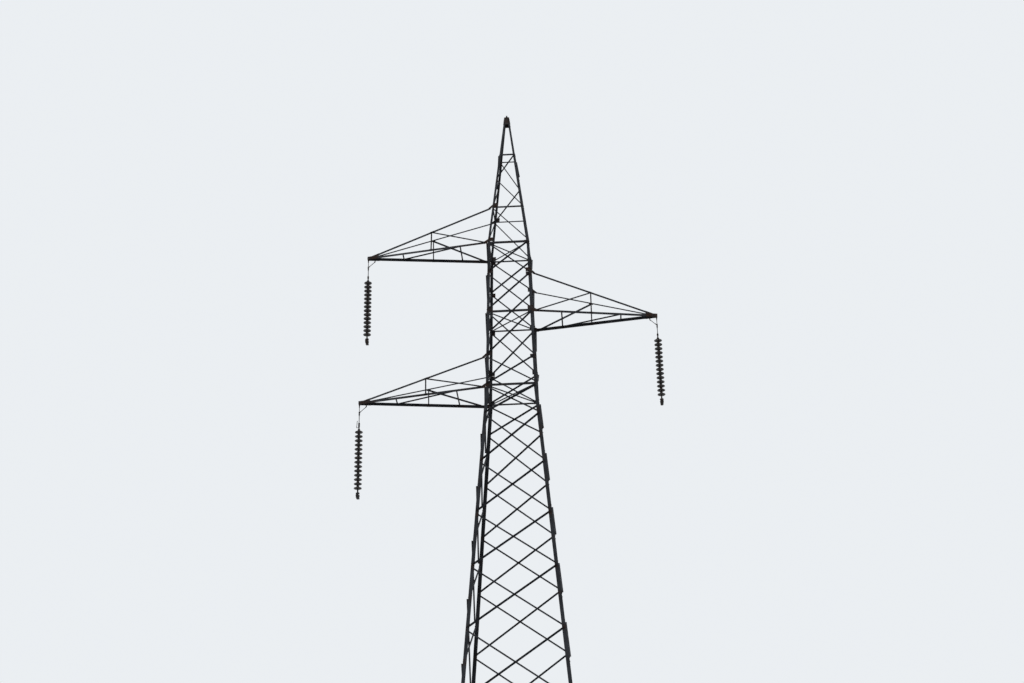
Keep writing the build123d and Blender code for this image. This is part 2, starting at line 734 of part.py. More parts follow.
# A string hangs below the point (reach, 0, level) and is turned half round for the left side
def string(name, level, reach, link, socket_height, quarters, horn=False):
    pin_z = level - tip_drop - lug_drop
    joint_z = pin_z - hanger_height
    along_x = Rot(0, 90, 0)
    along_y = Rot(90, 0, 0)

    # Hanger: two forks on pins along X, two rods and an eye with a hole along Y
    joint = Pos(reach, 0, joint_z) * along_y
    head_low = joint_z + hanger_head_rise - hanger_head_height / 2
    rod_top = pin_z - fork_below + rod_bite
    eye = joint * Cylinder(lug_radius, eye_thick)
    neck = block((reach, 0), neck_width, eye_thick, joint_z, head_low)
    head = block(
        (reach - hanger_head_offset, 0),
        hanger_head_length,
        hanger_head_width,
        head_low,
        head_low + hanger_head_height,
    )
    slant_foot = (reach - hanger_head_length / 2 + hanger_head_offset, 0, head_low + hanger_head_height)
    hanger = [
        fork(reach, pin_z, spreader_thick),
        fork(reach - hanger_spread, pin_z, spreader_thick),
        rod((reach, 0, rod_top), (reach, 0, head_low), hanger_rod_radius),
        rod((reach - hanger_spread, 0, rod_top), slant_foot, hanger_rod_radius),
        head,
        (neck + eye) - joint * Cylinder(pin_radius + pin_clearance, 2 * eye_thick),
    ]
    save(f"{name}_hanger", [turned(s, quarters) for s in fused(hanger)])

    # Fork, rod and socket over the first cap, and on one string a small horn beside them
    first_cap = joint_z - link
    rod_high, rod_low = joint_z - fork_below + rod_bite, first_cap - rod_bite
    top_rod = rod((reach, 0, rod_high), (reach, 0, rod_low), string_rod_radius)
    collar = rod((reach, 0, first_cap + collar_height), (reach, 0, first_cap), collar_radius)
    socket_z = first_cap + socket_low
    socket = rod((reach, 0, socket_z + socket_height), (reach, 0, socket_z), socket_radius)
    caps = [fork(reach, joint_z, eye_thick, 1), top_rod, collar, socket]
    if horn:
        foot = (reach + horn_foot[0], 0, first_cap + horn_foot[1])
        tip = (reach + horn_tip[0], 0, first_cap + horn_tip[1])
        caps += [rod((reach, 0, foot[2]), foot, horn_radius), rod(foot, tip, horn_radius)]
        caps.append(Pos(*foot) * Sphere(horn_radius))

    # One unit, from the top of its cap down: an iron cap, a porcelain shell and an iron stem
    cap_mouth = shell_neck_radius + shell_clearance
    cap_outline = [
        (0, 0),
        (0.58 * cap_radius, 0),
        (0.76 * cap_radius, -0.18 * cap_depth),
        (cap_radius, -0.51 * cap_depth),
        (cap_radius, -cap_depth),
        (cap_mouth, -cap_depth),
        (cap_mouth, -crown_depth),
        (0, -crown_depth),
    ]
    stem_hole = stem_radius + stem_clearance
    ribs = [(across * disc_radius, -down * disc_pitch) for across, down in shell_shares]
    shell_outline = [
        (0, -crown_depth),
        (shell_neck_radius, -crown_depth),
        (shell_neck_radius, -shell_shares[0][1] * disc_pitch),
        *ribs,
        (stem_hole, -shell_shares[-1][1] * disc_pitch),
        (stem_hole, -stem_top),
        (0, -stem_top),
    ]
    stem_outline = [(0, -stem_top), (stem_radius, -stem_top), (stem_radius, -disc_pitch), (0, -disc_pitch)]

    def spun(outline, top):
        points = [(reach + r, 0, top + z) for r, z in outline]
        face = Face(Wire.make_polygon(points))
        return Solid.revolve(face, 360, Axis((reach, 0, 0), (0, 0, 1)))

    shells, metal = [], []
    for index in range(disc_count):
        top = first_cap - index * disc_pitch
        caps.append(spun(cap_outline, top))
        metal += fused(caps)
        shells.append(spun(shell_outline, top))
        caps = [spun(stem_outline, top)]

    # Shank with a bridge and two straps that carry the clamp
    last = first_cap - disc_count * disc_pitch
    trunnion_z = last - bottom_link
    strap_out = strap_inner + cheek_thick
    bridge_low = trunnion_z + bridge_rise
    shank = rod((reach, 0, last), (reach, 0, bridge_low), shank_radius)
    bridge = block((reach, 0), 2 * strap_out, bridge_width, bridge_low, bridge_low + bridge_height)
    trunnion_axis = Pos(reach, 0, trunnion_z) * along_x
    hole = trunnion_axis * Cylinder(trunnion_radius + pin_clearance, 4 * strap_out)
    straps = []
    for side in (-1, 1):
        x = side * (strap_inner + cheek_thick / 2)
        strap = block((reach + x, 0), cheek_thick, strap_width, trunnion_z, bridge_low + strap_lap)
        round_end = Pos(x, 0, 0) * trunnion_axis * Cylinder(strap_width / 2, cheek_thick)
        straps.append((strap + round_end) - hole)
    metal += fused(caps + [shank, bridge] + straps)
    save(f"{name}_fittings", [turned(s, quarters) for s in metal])
    save(f"{name}_discs", [turned(s, quarters) for s in shells])

    # Suspension clamp, hung from its trunnion, with a bore for the conductor along Y
    wire_z = trunnion_z - clamp_drop
    half, quarter = clamp_length / 2, clamp_length / 4
    boat_outline = [
        (-half, wire_z - clamp_end),
        (-quarter, wire_z - clamp_belly),
        (quarter, wire_z - clamp_belly),
        (half, wire_z - clamp_end),
        (half, wire_z + clamp_end),
        (quarter, wire_z + clamp_crown),
        (-quarter, wire_z + clamp_crown),
        (-half, wire_z + clamp_end),
    ]
    boat_face = Face(Wire.make_polygon([(reach - clamp_half_width, y, z) for y, z in boat_outline]))
    boat = Solid.extrude(boat_face, Vector(2 * clamp_half_width, 0, 0))
    bore = Pos(reach, 0, wire_z) * along_y * Cylinder(conductor_radius, 2 * clamp_length)
    ear_low, ear_high = wire_z + conductor_radius + cheek_thick, trunnion_z + clamp_end / 2
    ear = block((reach, 0), 2 * clamp_half_width, clamp_ear, ear_low, ear_high)
    trunnion = trunnion_axis * Cylinder(trunnion_radius, 2 * (strap_out + trunnion_overhang))
    save(f"{name}_clamp", [turned(s, quarters) for s in fused([boat - bore, ear, trunnion])])


string("upper_left_string", upper_arm_level, upper_arm_reach, upper_left_link, short_socket, 2)
string("right_string", right_arm_level, right_arm_reach, right_link, short_socket, 0)
string("lower_left_string", lower_arm_level, lower_arm_reach, lower_left_link, long_socket, 2, horn=True)
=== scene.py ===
import itertools
import json
import math

import bmesh
import bpy
from mathutils import Matrix, Vector
from mathutils.bvhtree import BVHTree


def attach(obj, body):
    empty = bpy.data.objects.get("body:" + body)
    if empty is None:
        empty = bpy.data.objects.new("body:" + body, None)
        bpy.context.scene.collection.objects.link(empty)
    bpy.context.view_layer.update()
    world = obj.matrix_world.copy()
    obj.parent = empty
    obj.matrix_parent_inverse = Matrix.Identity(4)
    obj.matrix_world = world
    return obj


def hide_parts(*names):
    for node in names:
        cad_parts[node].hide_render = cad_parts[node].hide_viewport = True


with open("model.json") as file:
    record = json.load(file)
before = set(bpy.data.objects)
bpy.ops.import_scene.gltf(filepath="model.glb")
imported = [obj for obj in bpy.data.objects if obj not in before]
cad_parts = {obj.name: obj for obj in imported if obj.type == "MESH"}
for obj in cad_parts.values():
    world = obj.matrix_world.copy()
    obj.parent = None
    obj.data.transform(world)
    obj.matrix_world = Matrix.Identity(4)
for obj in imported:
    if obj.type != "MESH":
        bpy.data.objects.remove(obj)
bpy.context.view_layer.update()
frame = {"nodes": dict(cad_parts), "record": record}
cadNodes = frame["nodes"]
bpy.ops.object.select_all(action="DESELECT")
print("frame loaded:", len(cadNodes), "nodes")


# The camera's place in metres, how far it looks up and left and its tilt in degrees, and its lens
viewpoint = {
    "place": (2.46, -49.57, 1.6),
    "up": 26.22,
    "left": 2.83,
    "tilt": -1.28,
    "lens": 60.3,
    "sensor": 36,
    "seen from": 0.1,
    "seen to": 4000,
}


def turned(degrees, axis="Z"):
    return Matrix.Rotation(math.radians(degrees), 4, axis)


def makeCamera():
    bpy.ops.object.camera_add(location=viewpoint["place"])
    camera = bpy.context.object
    camera.name = "camera"
    turn = turned(viewpoint["left"]) @ turned(90 + viewpoint["up"], "X") @ turned(viewpoint["tilt"])
    camera.rotation_euler = turn.to_euler()
    camera.data.sensor_width = viewpoint["sensor"]
    camera.data.lens = viewpoint["lens"]
    camera.data.clip_start = viewpoint["seen from"]
    camera.data.clip_end = viewpoint["seen to"]
    bpy.context.scene.camera = camera


# Colours, strengths and the size of the floor. Lamps: turn and height in degrees, strength, softness
studio = {
    "floor size": 3000,
    "floor colour": (0.85, 0.86, 0.87, 1),
    "floor rough": 0.9,
    "backdrop": (0.83, 0.86, 0.89, 1),
    "sky light": (0.97, 0.985, 1, 1),
    "sky strength": 0.6,
    "lamp place": (0, -20, 45),
    "lamps": {"key lamp": (-38, 42, 1.5, 12), "fill lamp": (62, 18, 0.45, 35)},
}


def makeStudio():
    bpy.ops.mesh.primitive_plane_add(size=studio["floor size"], location=(0, 0, 0))
    floor = bpy.context.object
    floor.name = "floor"
    material = bpy.data.materials.new("pale floor")
    material.use_nodes = True
    shader = material.node_tree.nodes["Principled BSDF"]
    shader.inputs["Base Color"].default_value = studio["floor colour"]
    shader.inputs["Roughness"].default_value = studio["floor rough"]
    floor.data.materials.append(material)
    world = bpy.data.worlds.new("studio")
    world.use_nodes = True
    bpy.context.scene.world = world
    tree = world.node_tree
    tree.nodes.clear()
    light = tree.nodes.new("ShaderNodeBackground")
    light.inputs["Color"].default_value = studio["sky light"]
    light.inputs["Strength"].default_value = studio["sky strength"]
    pale = tree.nodes.new("ShaderNodeBackground")
    pale.inputs["Color"].default_value = studio["backdrop"]
    path = tree.nodes.new("ShaderNodeLightPath")
    seen = path.outputs["Is Camera Ray"]
    for name in ("Is Glossy Ray", "Is Transmission Ray"):
        either = tree.nodes.new("ShaderNodeMath")
        either.operation = "MAXIMUM"
        tree.links.new(seen, either.inputs[0])
        tree.links.new(path.outputs[name], either.inputs[1])
        seen = either.outputs[0]
    choice = tree.nodes.new("ShaderNodeMixShader")
    tree.links.new(seen, choice.inputs["Fac"])
    tree.links.new(light.outputs[0], choice.inputs[1])
    tree.links.new(pale.outputs[0], choice.inputs[2])
    output = tree.nodes.new("ShaderNodeOutputWorld")
    tree.links.new(choice.outputs[0], output.inputs["Surface"])
    for name, (turn, height, strength, softness) in studio["lamps"].items():
        bpy.ops.object.light_add(type="SUN", location=studio["lamp place"])
        lamp = bpy.context.object
        lamp.name = name
        lamp.data.energy = strength
        lamp.data.angle = math.radians(softness)
        lamp.rotation_euler = (math.radians(90 - height), 0, math.radians(turn))


makeCamera()
makeStudio()
bpy.context.scene.view_settings.view_transform = "Standard"
print("camera, floor and lamps made")

# Heights above the ground where members meet
levels = {
    "leg foot": 0.325,
    "belt": 8.8,
    "lowest panel": 11.5,
    "lower arm": 24.15,
    "lower arm top": 25.2,
    "right arm": 26.8,
    "right arm top": 28.2,
    "upper arm": 29.4,
    "upper arm top": 30.8,
    "peak middle": 31.95,
    "peak ring": 33.0,
    "cap": 34.6,
}
frontShares = [0, 0.19, 0.364, 0.518, 0.656, 0.79, 0.921, 1]
sideShares = [0, 0.123, 0.285, 0.441, 0.587, 0.729, 0.87, 1]


def panelLevels(shares):
    low, high = levels["lowest panel"], levels["lower arm"]
    return [low + share * (high - low) for share in shares]


class ShaderGraph:
    # Short calls to add shader nodes and join them up
    def __init__(self, tree):
        self.tree = tree

    def feed(self, socket, value):
        if isinstance(value, bpy.types.NodeSocket):
            self.tree.links.new(value, socket)
        else:
            socket.default_value = value

    def fill(self, node, values):
        # Values by the name or the number of their socket
        for socket, value in values.items():
            self.feed(node.inputs[socket], value)
        return node

    def add(self, kind, **values):
        return self.fill(self.tree.nodes.new("ShaderNode" + kind), values)

    def place(self):
        return self.add("TexCoord").outputs["Object"]

    def stretch(self, vector, scale):
        return self.add("Mapping", Vector=vector, Scale=scale).outputs["Vector"]

    def math(self, operation, *values):
        node = self.add("Math")
        node.operation = operation
        return self.fill(node, dict(enumerate(values))).outputs[0]

    def mixed(self, first, second, shares):
        # Both added up, each times its share
        return self.math("MULTIPLY_ADD", second, shares[1], self.math("MULTIPLY", first, shares[0]))

    def blend(self, factor, low, high):
        # A number between two
        return self.fill(self.add("Mix"), {0: factor, 2: low, 3: high}).outputs[0]

    def tint(self, factor, low, high, mode="MIX"):
        # A colour between two
        node = self.add("Mix")
        node.data_type = "RGBA"
        node.blend_type = mode
        return self.fill(node, {0: factor, 6: low, 7: high}).outputs[2]

    def ramp(self, value, low, high, start=0.0, end=1.0):
        edges = {"From Min": low, "From Max": high, "To Min": start, "To Max": end}
        node = self.add("MapRange", Value=value, **edges)
        node.interpolation_type = "SMOOTHSTEP"
        return node.outputs["Result"]

    def noise(self, vector, scale, detail=4, roughness=0.55):
        node = self.add("TexNoise", Vector=vector, Scale=scale, Detail=detail, Roughness=roughness)
        return node.outputs["Fac"]

    def spots(self, vector, noise, edges):
        # Noise that comes up smoothly between two edges
        return self.ramp(self.noise(vector, *noise), *edges)

    def cells(self, vector, scale):
        node = self.add("TexVoronoi", Vector=vector, Scale=scale)
        colour = self.add("SeparateColor", Color=node.outputs["Color"])
        return colour.outputs[0], node.outputs["Distance"]

    def effect(self, tree, **values):
        node = self.add("Group")
        node.node_tree = tree
        return self.fill(node, values).outputs


def newEffect(name, inputs, outputs):
    tree = bpy.data.node_groups.new(name, "ShaderNodeTree")
    for way, sockets in (("INPUT", inputs), ("OUTPUT", outputs)):
        for socket, kind in sockets.items():
            tree.interface.new_socket(name=socket, in_out=way, socket_type="NodeSocket" + kind)
    given = tree.nodes.new("NodeGroupInput").outputs
    wanted = tree.nodes.new("NodeGroupOutput").inputs
    return ShaderGraph(tree), given, wanted


coatOutputs = {"Color": "Color", "Roughness": "Float", "Height": "Float"}

# Dull zinc coat: weathered patches, small crystals and dark rain streaks. Here and in the finishes below
# a noise is written as its repeats per metre, detail and roughness
zinc = {
    "patches": (1.9, 7, 0.62),
    "patch edges": (0.34, 0.66),
    "crystals": 75,
    "crystal relief": 0.35,
    "streak stretch": (11, 11, 0.55),
    "streaks": (1.0, 5, 0.6),
    "streak edges": (0.5, 0.72),
    "streak rough": 0.12,
    "grain": (420, 3),
    "rough": (0.7, 0.56),
}


def zincEffect():
    inputs = {"Light": "Color", "Dark": "Color", "Crystals": "Float", "Streaks": "Float"}
    graph, given, wanted = newEffect("dull zinc", inputs, coatOutputs)
    place = graph.place()
    patches = graph.spots(place, zinc["patches"], zinc["patch edges"])
    colour = graph.tint(patches, given["Dark"], given["Light"])
    crystal, _ = graph.cells(place, zinc["crystals"])
    shift = graph.math("MULTIPLY", graph.math("SUBTRACT", crystal, 0.5), given["Crystals"])
    level = graph.math("ADD", shift, 1.0)
    shade = graph.add("CombineXYZ", X=level, Y=level, Z=level).outputs[0]
    colour = graph.tint(1.0, colour, shade, "MULTIPLY")
    drawn = graph.stretch(place, zinc["streak stretch"])
    rain = graph.spots(drawn, zinc["streaks"], zinc["streak edges"])
    streak = graph.math("MULTIPLY", rain, given["Streaks"])
    graph.feed(wanted["Color"], graph.tint(streak, colour, given["Dark"]))
    rough = graph.blend(patches, *zinc["rough"])
    graph.feed(wanted["Roughness"], graph.math("MULTIPLY_ADD", streak, zinc["streak rough"], rough))
    grain = graph.noise(place, *zinc["grain"])
    graph.feed(wanted["Height"], graph.math("MULTIPLY_ADD", crystal, zinc["crystal relief"], grain))
    return graph.tree


# Where rust gathers: near the heights where members meet, and near the posts and tips of the arms
rustZones = {
    "tip": 4.62,
    "post": 2.7,
    "arm from": 1.9,
    "arms above": 23.5,
    "full share": 0.2,
    "far": 100.0,
}


def jointEffect():
    graph, given, wanted = newEffect("near joints", {"Reach": "Float"}, {"Mask": "Float"})
    parts = graph.add("SeparateXYZ", Vector=graph.place()).outputs
    sideways = graph.math("ABSOLUTE", parts["X"])

    def awayFrom(value, spot):
        return graph.math("ABSOLUTE", graph.math("SUBTRACT", value, spot))

    onBody = rustZones["far"]
    for height in sorted({*panelLevels(frontShares), *panelLevels(sideShares), *levels.values()}):
        onBody = graph.math("MINIMUM", awayFrom(parts["Z"], height), onBody)
    onArm = graph.math("MINIMUM", *[awayFrom(sideways, rustZones[name]) for name in ("tip", "post")])
    outside = graph.math("GREATER_THAN", sideways, rustZones["arm from"])
    high = graph.math("GREATER_THAN", parts["Z"], rustZones["arms above"])
    away = graph.blend(graph.math("MULTIPLY", outside, high), onBody, onArm)
    share = graph.math("DIVIDE", away, given["Reach"])
    graph.feed(wanted["Mask"], graph.ramp(share, rustZones["full share"], 1.0, 1.0, 0.0))
    return graph.tree


# Brown rust in blotches. Amount is how much of it lies all over, Mask where there is more
rust = {
    "blotches": (5.5, 9, 0.68),
    "specks": (46, 5, 0.6),
    "shares": (0.65, 0.35),  # of blotches and specks
    "weights": (0.3, 0.12),  # of Amount and Mask
    "edges": (0.6, 0.76),
    "tones": (17, 6, 0.6),
    "tone edges": (0.35, 0.7),
    # Rust tones are near-black: real rust brown, darkened further as painted shade of a tower seen
    # against the light
    "dark": (0.013, 0.0075, 0.0055, 1),
    "brown": (0.033, 0.0165, 0.0105, 1),
    "rough": 0.88,
    "pits": (130, 4),
}


def rustEffect():
    inputs = {"Color": "Color", "Roughness": "Float", "Amount": "Float", "Mask": "Float"}
    graph, given, wanted = newEffect("rust", inputs, coatOutputs)
    place = graph.place()
    blotch, speck = graph.noise(place, *rust["blotches"]), graph.noise(place, *rust["specks"])
    mottle = graph.mixed(blotch, speck, rust["shares"])
    more = graph.mixed(given["Amount"], given["Mask"], rust["weights"])
    cover = graph.ramp(graph.math("ADD", mottle, more), *rust["edges"])
    tone = graph.spots(place, rust["tones"], rust["tone edges"])
    brown = graph.tint(tone, rust["dark"], rust["brown"])
    graph.feed(wanted["Color"], graph.tint(cover, given["Color"], brown))
    graph.feed(wanted["Roughness"], graph.blend(cover, given["Roughness"], rust["rough"]))
    graph.feed(wanted["Height"], graph.math("MULTIPLY", cover, graph.noise(place, *rust["pits"])))
    return graph.tree


effects = {"zinc": zincEffect(), "joints": jointEffect(), "rust": rustEffect()}


def newFinish(name, constants):
    material = bpy.data.materials.new(name)
    material.use_nodes = True
    shader = material.node_tree.nodes["Principled BSDF"]
    for socket, value in constants.items():
        shader.inputs[socket].default_value = value
    return material, ShaderGraph(material.node_tree), shader


def setSurface(graph, shader, colour, rough, height, depth, strength=0.5):
    relief = graph.add("Bump", Height=height, Distance=depth, Strength=strength)
    graph.feed(shader.inputs["Base Color"], colour)
    graph.feed(shader.inputs["Roughness"], rough)
    graph.feed(shader.inputs["Normal"], relief.outputs["Normal"])


# Light and dark of the coat, crystals, streaks, rust all over, and how far rust reaches from a joint.
# The coat's tones are near-black: the steel's own dark weathered zinc, darkened further as painted shade
# of a tower seen against the light
steels = {
    "leg steel": ((0.0205, 0.0228, 0.0275), (0.0095, 0.0107, 0.013), 0.35, 0.75, 0.0, 0.4),
    "bracing steel": ((0.021, 0.0233, 0.0282), (0.0098, 0.011, 0.0135), 0.35, 0.5, 0.0, 0.3),
    "arm steel": ((0.0195, 0.0212, 0.0252), (0.0092, 0.01, 0.012), 0.35, 0.5, 0.04, 0.4),
    "plate steel": ((0.022, 0.0215, 0.0232), (0.0112, 0.0105, 0.011), 0.3, 0.5, 0.2, 0.5),
    "bolt steel": ((0.026, 0.0242, 0.0245), (0.0135, 0.0122, 0.012), 0.2, 0.3, 0.28, 0.5),
    "fitting iron": ((0.0225, 0.022, 0.0232), (0.0115, 0.011, 0.0115), 0.15, 0.3, 0.1, 0.3),
}
steelSurface = {"Metallic": 0.1, "Specular IOR Level": 0.12}
steelRelief = {"shares": (0.3, 1.6), "depth": 0.0012}  # shares of the coat and of the rust


def steelFinish(name, light, dark, crystals, streaks, amount, reach):
    material, graph, shader = newFinish(name, steelSurface)
    tones = {"Light": (*light, 1), "Dark": (*dark, 1)}
    coat = graph.effect(effects["zinc"], Crystals=crystals, Streaks=streaks, **tones)
    mask = graph.effect(effects["joints"], Reach=reach)["Mask"]
    under = {"Color": coat["Color"], "Roughness": coat["Roughness"]}
    rusty = graph.effect(effects["rust"], Amount=amount, Mask=mask, **under)
    height = graph.mixed(coat["Height"], rusty["Height"], steelRelief["shares"])
    setSurface(graph, shader, rusty["Color"], rusty["Roughness"], height, steelRelief["depth"])
    return material


glaze = {
    "surface": {"Coat Weight": 0.22, "Coat Roughness": 0.1, "Specular IOR Level": 0.3},
    "deep": (0.007, 0.0045, 0.004, 1),
    "brown": (0.019, 0.0102, 0.0075, 1),
    "tones": (9, 5),
    "tone edges": (0.3, 0.7),
    "flecks": (260, 2),
    "fleck edges": (0.62, 0.7),
    "fleck colour": (0.005, 0.0035, 0.003, 1),
    "fleck cover": 0.5,
    "dust stretch": (30, 30, 14),
    "dust": (1.0, 6, 0.65),
    "dust edges": (0.56, 0.78),
    "dust colour": (0.036, 0.032, 0.029, 1),
    "dust cover": 0.22,
    "rough": 0.22,
    "dust rough": 0.4,
    "waves": (60, 3),
    "depth": 0.001,
    "strength": 0.15,
}


def porcelainFinish():
    material, graph, shader = newFinish("brown porcelain", glaze["surface"])
    place = graph.place()
    tone = graph.spots(place, glaze["tones"], glaze["tone edges"])
    colour = graph.tint(tone, glaze["deep"], glaze["brown"])
    flecks = graph.spots(place, glaze["flecks"], glaze["fleck edges"])
    cover = graph.math("MULTIPLY", flecks, glaze["fleck cover"])
    colour = graph.tint(cover, colour, glaze["fleck colour"])
    dust = graph.spots(graph.stretch(place, glaze["dust stretch"]), glaze["dust"], glaze["dust edges"])
    cover = graph.math("MULTIPLY", dust, glaze["dust cover"])
    colour = graph.tint(cover, colour, glaze["dust colour"])
    rough = graph.math("MULTIPLY_ADD", dust, glaze["dust rough"], glaze["rough"])
    waves = graph.noise(place, *glaze["waves"])
    setSurface(graph, shader, colour, rough, waves, glaze["depth"], glaze["strength"])
    return material


castSurface = {"Specular IOR Level": 0.3}
concrete = {
    "dark": (0.3, 0.285, 0.26, 1),
    "light": (0.46, 0.45, 0.42, 1),
    "tones": (3.1, 7, 0.6),
    "tone edges": (0.3, 0.72),
    "stones": 95,
    "stone edges": (0.78, 0.95),
    "stone colour": (0.26, 0.24, 0.22, 1),
    "damp edge": (14, 6),
    "damp waver": 0.16,
    "damp height": (0.08, 0.24),
    "damp cover": 0.85,
    "damp colour": (0.13, 0.13, 0.095, 1),
    "run stretch": (16, 16, 1.4),
    "runs": (1.0, 5),
    "run edges": (0.52, 0.7),
    "run colour": (0.2, 0.1, 0.05, 1),
    "run cover": 0.5,
    "rough": 0.9,
    "damp rough": -0.1,
    "pits": (70, 6, 0.7),
    "relief shares": (0.5, 0.7),  # of the hollows round the stones and of the pits
    "depth": 0.004,
}


def concreteFinish():
    material, graph, shader = newFinish("cast concrete", castSurface)
    place = graph.place()
    tone = graph.spots(place, concrete["tones"], concrete["tone edges"])
    colour = graph.tint(tone, concrete["dark"], concrete["light"])
    stone, hollow = graph.cells(place, concrete["stones"])
    colour = graph.tint(graph.ramp(stone, *concrete["stone edges"]), colour, concrete["stone colour"])
    height = graph.add("SeparateXYZ", Vector=place).outputs["Z"]
    edge = graph.noise(place, *concrete["damp edge"])
    ragged = graph.math("MULTIPLY_ADD", edge, concrete["damp waver"], height)
    damp = graph.ramp(ragged, *concrete["damp height"], concrete["damp cover"], 0.0)
    colour = graph.tint(damp, colour, concrete["damp colour"])
    drawn = graph.stretch(place, concrete["run stretch"])
    runs = graph.spots(drawn, concrete["runs"], concrete["run edges"])
    cover = graph.math("MULTIPLY", runs, concrete["run cover"])
    colour = graph.tint(cover, colour, concrete["run colour"])
    rough = graph.math("MULTIPLY_ADD", damp, concrete["damp rough"], concrete["rough"])
    relief = graph.mixed(hollow, graph.noise(place, *concrete["pits"]), concrete["relief shares"])
    setSurface(graph, shader, colour, rough, relief, concrete["depth"])
    return material


mortar = {
    "dark": (0.12, 0.11, 0.1, 1),
    "light": (0.24, 0.22, 0.2, 1),
    "tones": (40, 5),
    "tone edges": (0.3, 0.7),
    "rough": (0.95, 0.8),
    "grit": (300, 4),
    "depth": 0.001,
}


def mortarFinish():
    material, graph, shader = newFinish("mortar", castSurface)
    place = graph.place()
    tone = graph.spots(place, mortar["tones"], mortar["tone edges"])
    colour = graph.tint(tone, mortar["dark"], mortar["light"])
    rough = graph.blend(tone, *mortar["rough"])
    setSurface(graph, shader, colour, rough, graph.noise(place, *mortar["grit"]), mortar["depth"])
    return material


finishes = {name: steelFinish(name, *values) for name, values in steels.items()}
finishes["porcelain"] = porcelainFinish()
finishes["concrete"] = concreteFinish()
finishes["mortar"] = mortarFinish()


def dressNodes():
    for row in frame["record"]["subparts"]:
        mesh = cadNodes[row["node"]].data
        mesh.materials.clear()
        mesh.materials.append(finishes[row["material_slot"].replace("_", " ")])


dressNodes()
print("finishes made:", len(finishes))


def startEdit():
    bpy.ops.object.mode_set(mode="EDIT")


def endEdit():
    bpy.ops.object.mode_set(mode="OBJECT")


def choose(kind, test):
    # In edit mode: selects the vertices, edges or faces that pass a test
    bpy.ops.mesh.select_mode(type=kind)
    bpy.ops.mesh.select_all(action="DESELECT")
    edited = bmesh.from_edit_mesh(bpy.context.edit_object.data)
    for item in {"VERT": edited.verts, "EDGE": edited.edges, "FACE": edited.faces}[kind]:
        if test(item):
            item.select_set(True)
    edited.select_flush_mode()
    bmesh.update_edit_mesh(bpy.context.edit_object.data)


def pick(*objects):
    bpy.ops.object.select_all(action="DESELECT")
    for item in objects:
        item.select_set(True)
    bpy.context.view_layer.objects.active = objects[0]


def join(objects):
    pick(*objects)
    if len(objects) > 1:
        bpy.ops.object.join()
    return bpy.context.object


def applyPlace(*objects):
    pick(*objects)
    bpy.ops.object.transform_apply(location=True, rotation=True, scale=True)


def placeCopy(model, place):
    copied = model.copy()
    copied.data = model.data.copy()
    copied.matrix_world = place
    bpy.context.scene.collection.objects.link(copied)
    return copied


def placeCopies(model, places):
    copies = [placeCopy(model, place) for place in places]
    bpy.data.objects.remove(model)
    return copies


def finishPiece(parts, name, body, finish, smooth=None):
    # Joins the parts, moves their place into the mesh, and gives the piece its body and finish
    piece = join(parts)
    applyPlace(piece)
    piece.name = name
    piece.data.name = name
    piece.data.materials.clear()
    piece.data.materials.append(finishes[finish])
    if smooth:
        bpy.ops.object.shade_smooth_by_angle(angle=math.radians(smooth))
    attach(piece, body)
    bpy.ops.object.select_all(action="DESELECT")
    return piece


def turnedShape(profile, segments):
    # A round or many-sided shape, drawn up ring by ring through its radii and heights
    radius, height = profile[0]
    bpy.ops.mesh.primitive_circle_add(
        vertices=segments, radius=radius, fill_type="NGON", location=(0, 0, height)
    )
    startEdit()
    bpy.ops.mesh.select_mode(type="FACE")
    bpy.ops.mesh.select_all(action="SELECT")
    for nextRadius, nextHeight in profile[1:]:
        bpy.ops.mesh.extrude_region_move(TRANSFORM_OT_translate={"value": (0, 0, nextHeight - height)})
        ratio = nextRadius / radius
        bpy.ops.transform.resize(value=(ratio, ratio, 1), center_override=(0, 0, nextHeight))
        radius, height = nextRadius, nextHeight
    bpy.ops.mesh.select_all(action="SELECT")
    bpy.ops.mesh.normals_make_consistent(inside=False)
    endEdit()
    applyPlace(bpy.context.object)
    return bpy.context.object


def nutShape(profile):
    return turnedShape(profile, 6)


plateEdge = 0.0015  # taken off every edge of a plate


def plateShape(size, place=(0, 0, 0)):
    bpy.ops.mesh.primitive_cube_add(size=1, location=place, scale=size)
    plate = bpy.context.object
    applyPlace(plate)
    startEdit()
    bpy.ops.mesh.select_all(action="SELECT")
    bpy.ops.mesh.bevel(offset=plateEdge, segments=1, affect="EDGES")
    endEdit()
    return plate


# The tapered stretches of the body, from the front face: heights of their ends, half widths at the heels
# there, and width and thickness of the legs
stretches = {
    "base": {
        "low": 0, "half low": 2.75, "high": 24.15, "half high": 0.805, "leg": 0.11, "thick": 0.01
    },
    "waist": {
        "low": 24.15, "half low": 0.805, "high": 29.4, "half high": 0.68, "leg": 0.09, "thick": 0.008
    },
    "peak": {
        "low": 29.4, "half low": 0.68, "high": 34.6, "half high": 0.085, "leg": 0.07, "thick": 0.007
    },
}


def slopeOf(stretch):
    return (stretch["half low"] - stretch["half high"]) / (stretch["high"] - stretch["low"])


def halfAt(stretch, z):
    return stretch["half low"] - slopeOf(stretch) * (z - stretch["low"])


def faceOf(stretch, quarter):
    # From a face's own axes, across it, up it and out of it, to the world
    lean = math.atan(slopeOf(stretch))
    upward = Vector((0, math.sin(lean), math.cos(lean)))
    outward = Vector((0, -math.cos(lean), math.sin(lean)))
    local = Matrix((Vector((1, 0, 0)), upward, outward)).transposed().to_4x4()
    local.translation = (0, -stretch["half low"], stretch["low"])
    return turned(90 * quarter) @ local


def facePoint(stretch, side, inset, z):
    # A point of a face, set in from the heel of its left (-1) or right (1) leg
    slant = math.hypot(slopeOf(stretch), 1)
    return Vector((side * (halfAt(stretch, z) - inset), (z - stretch["low"]) * slant, 0))


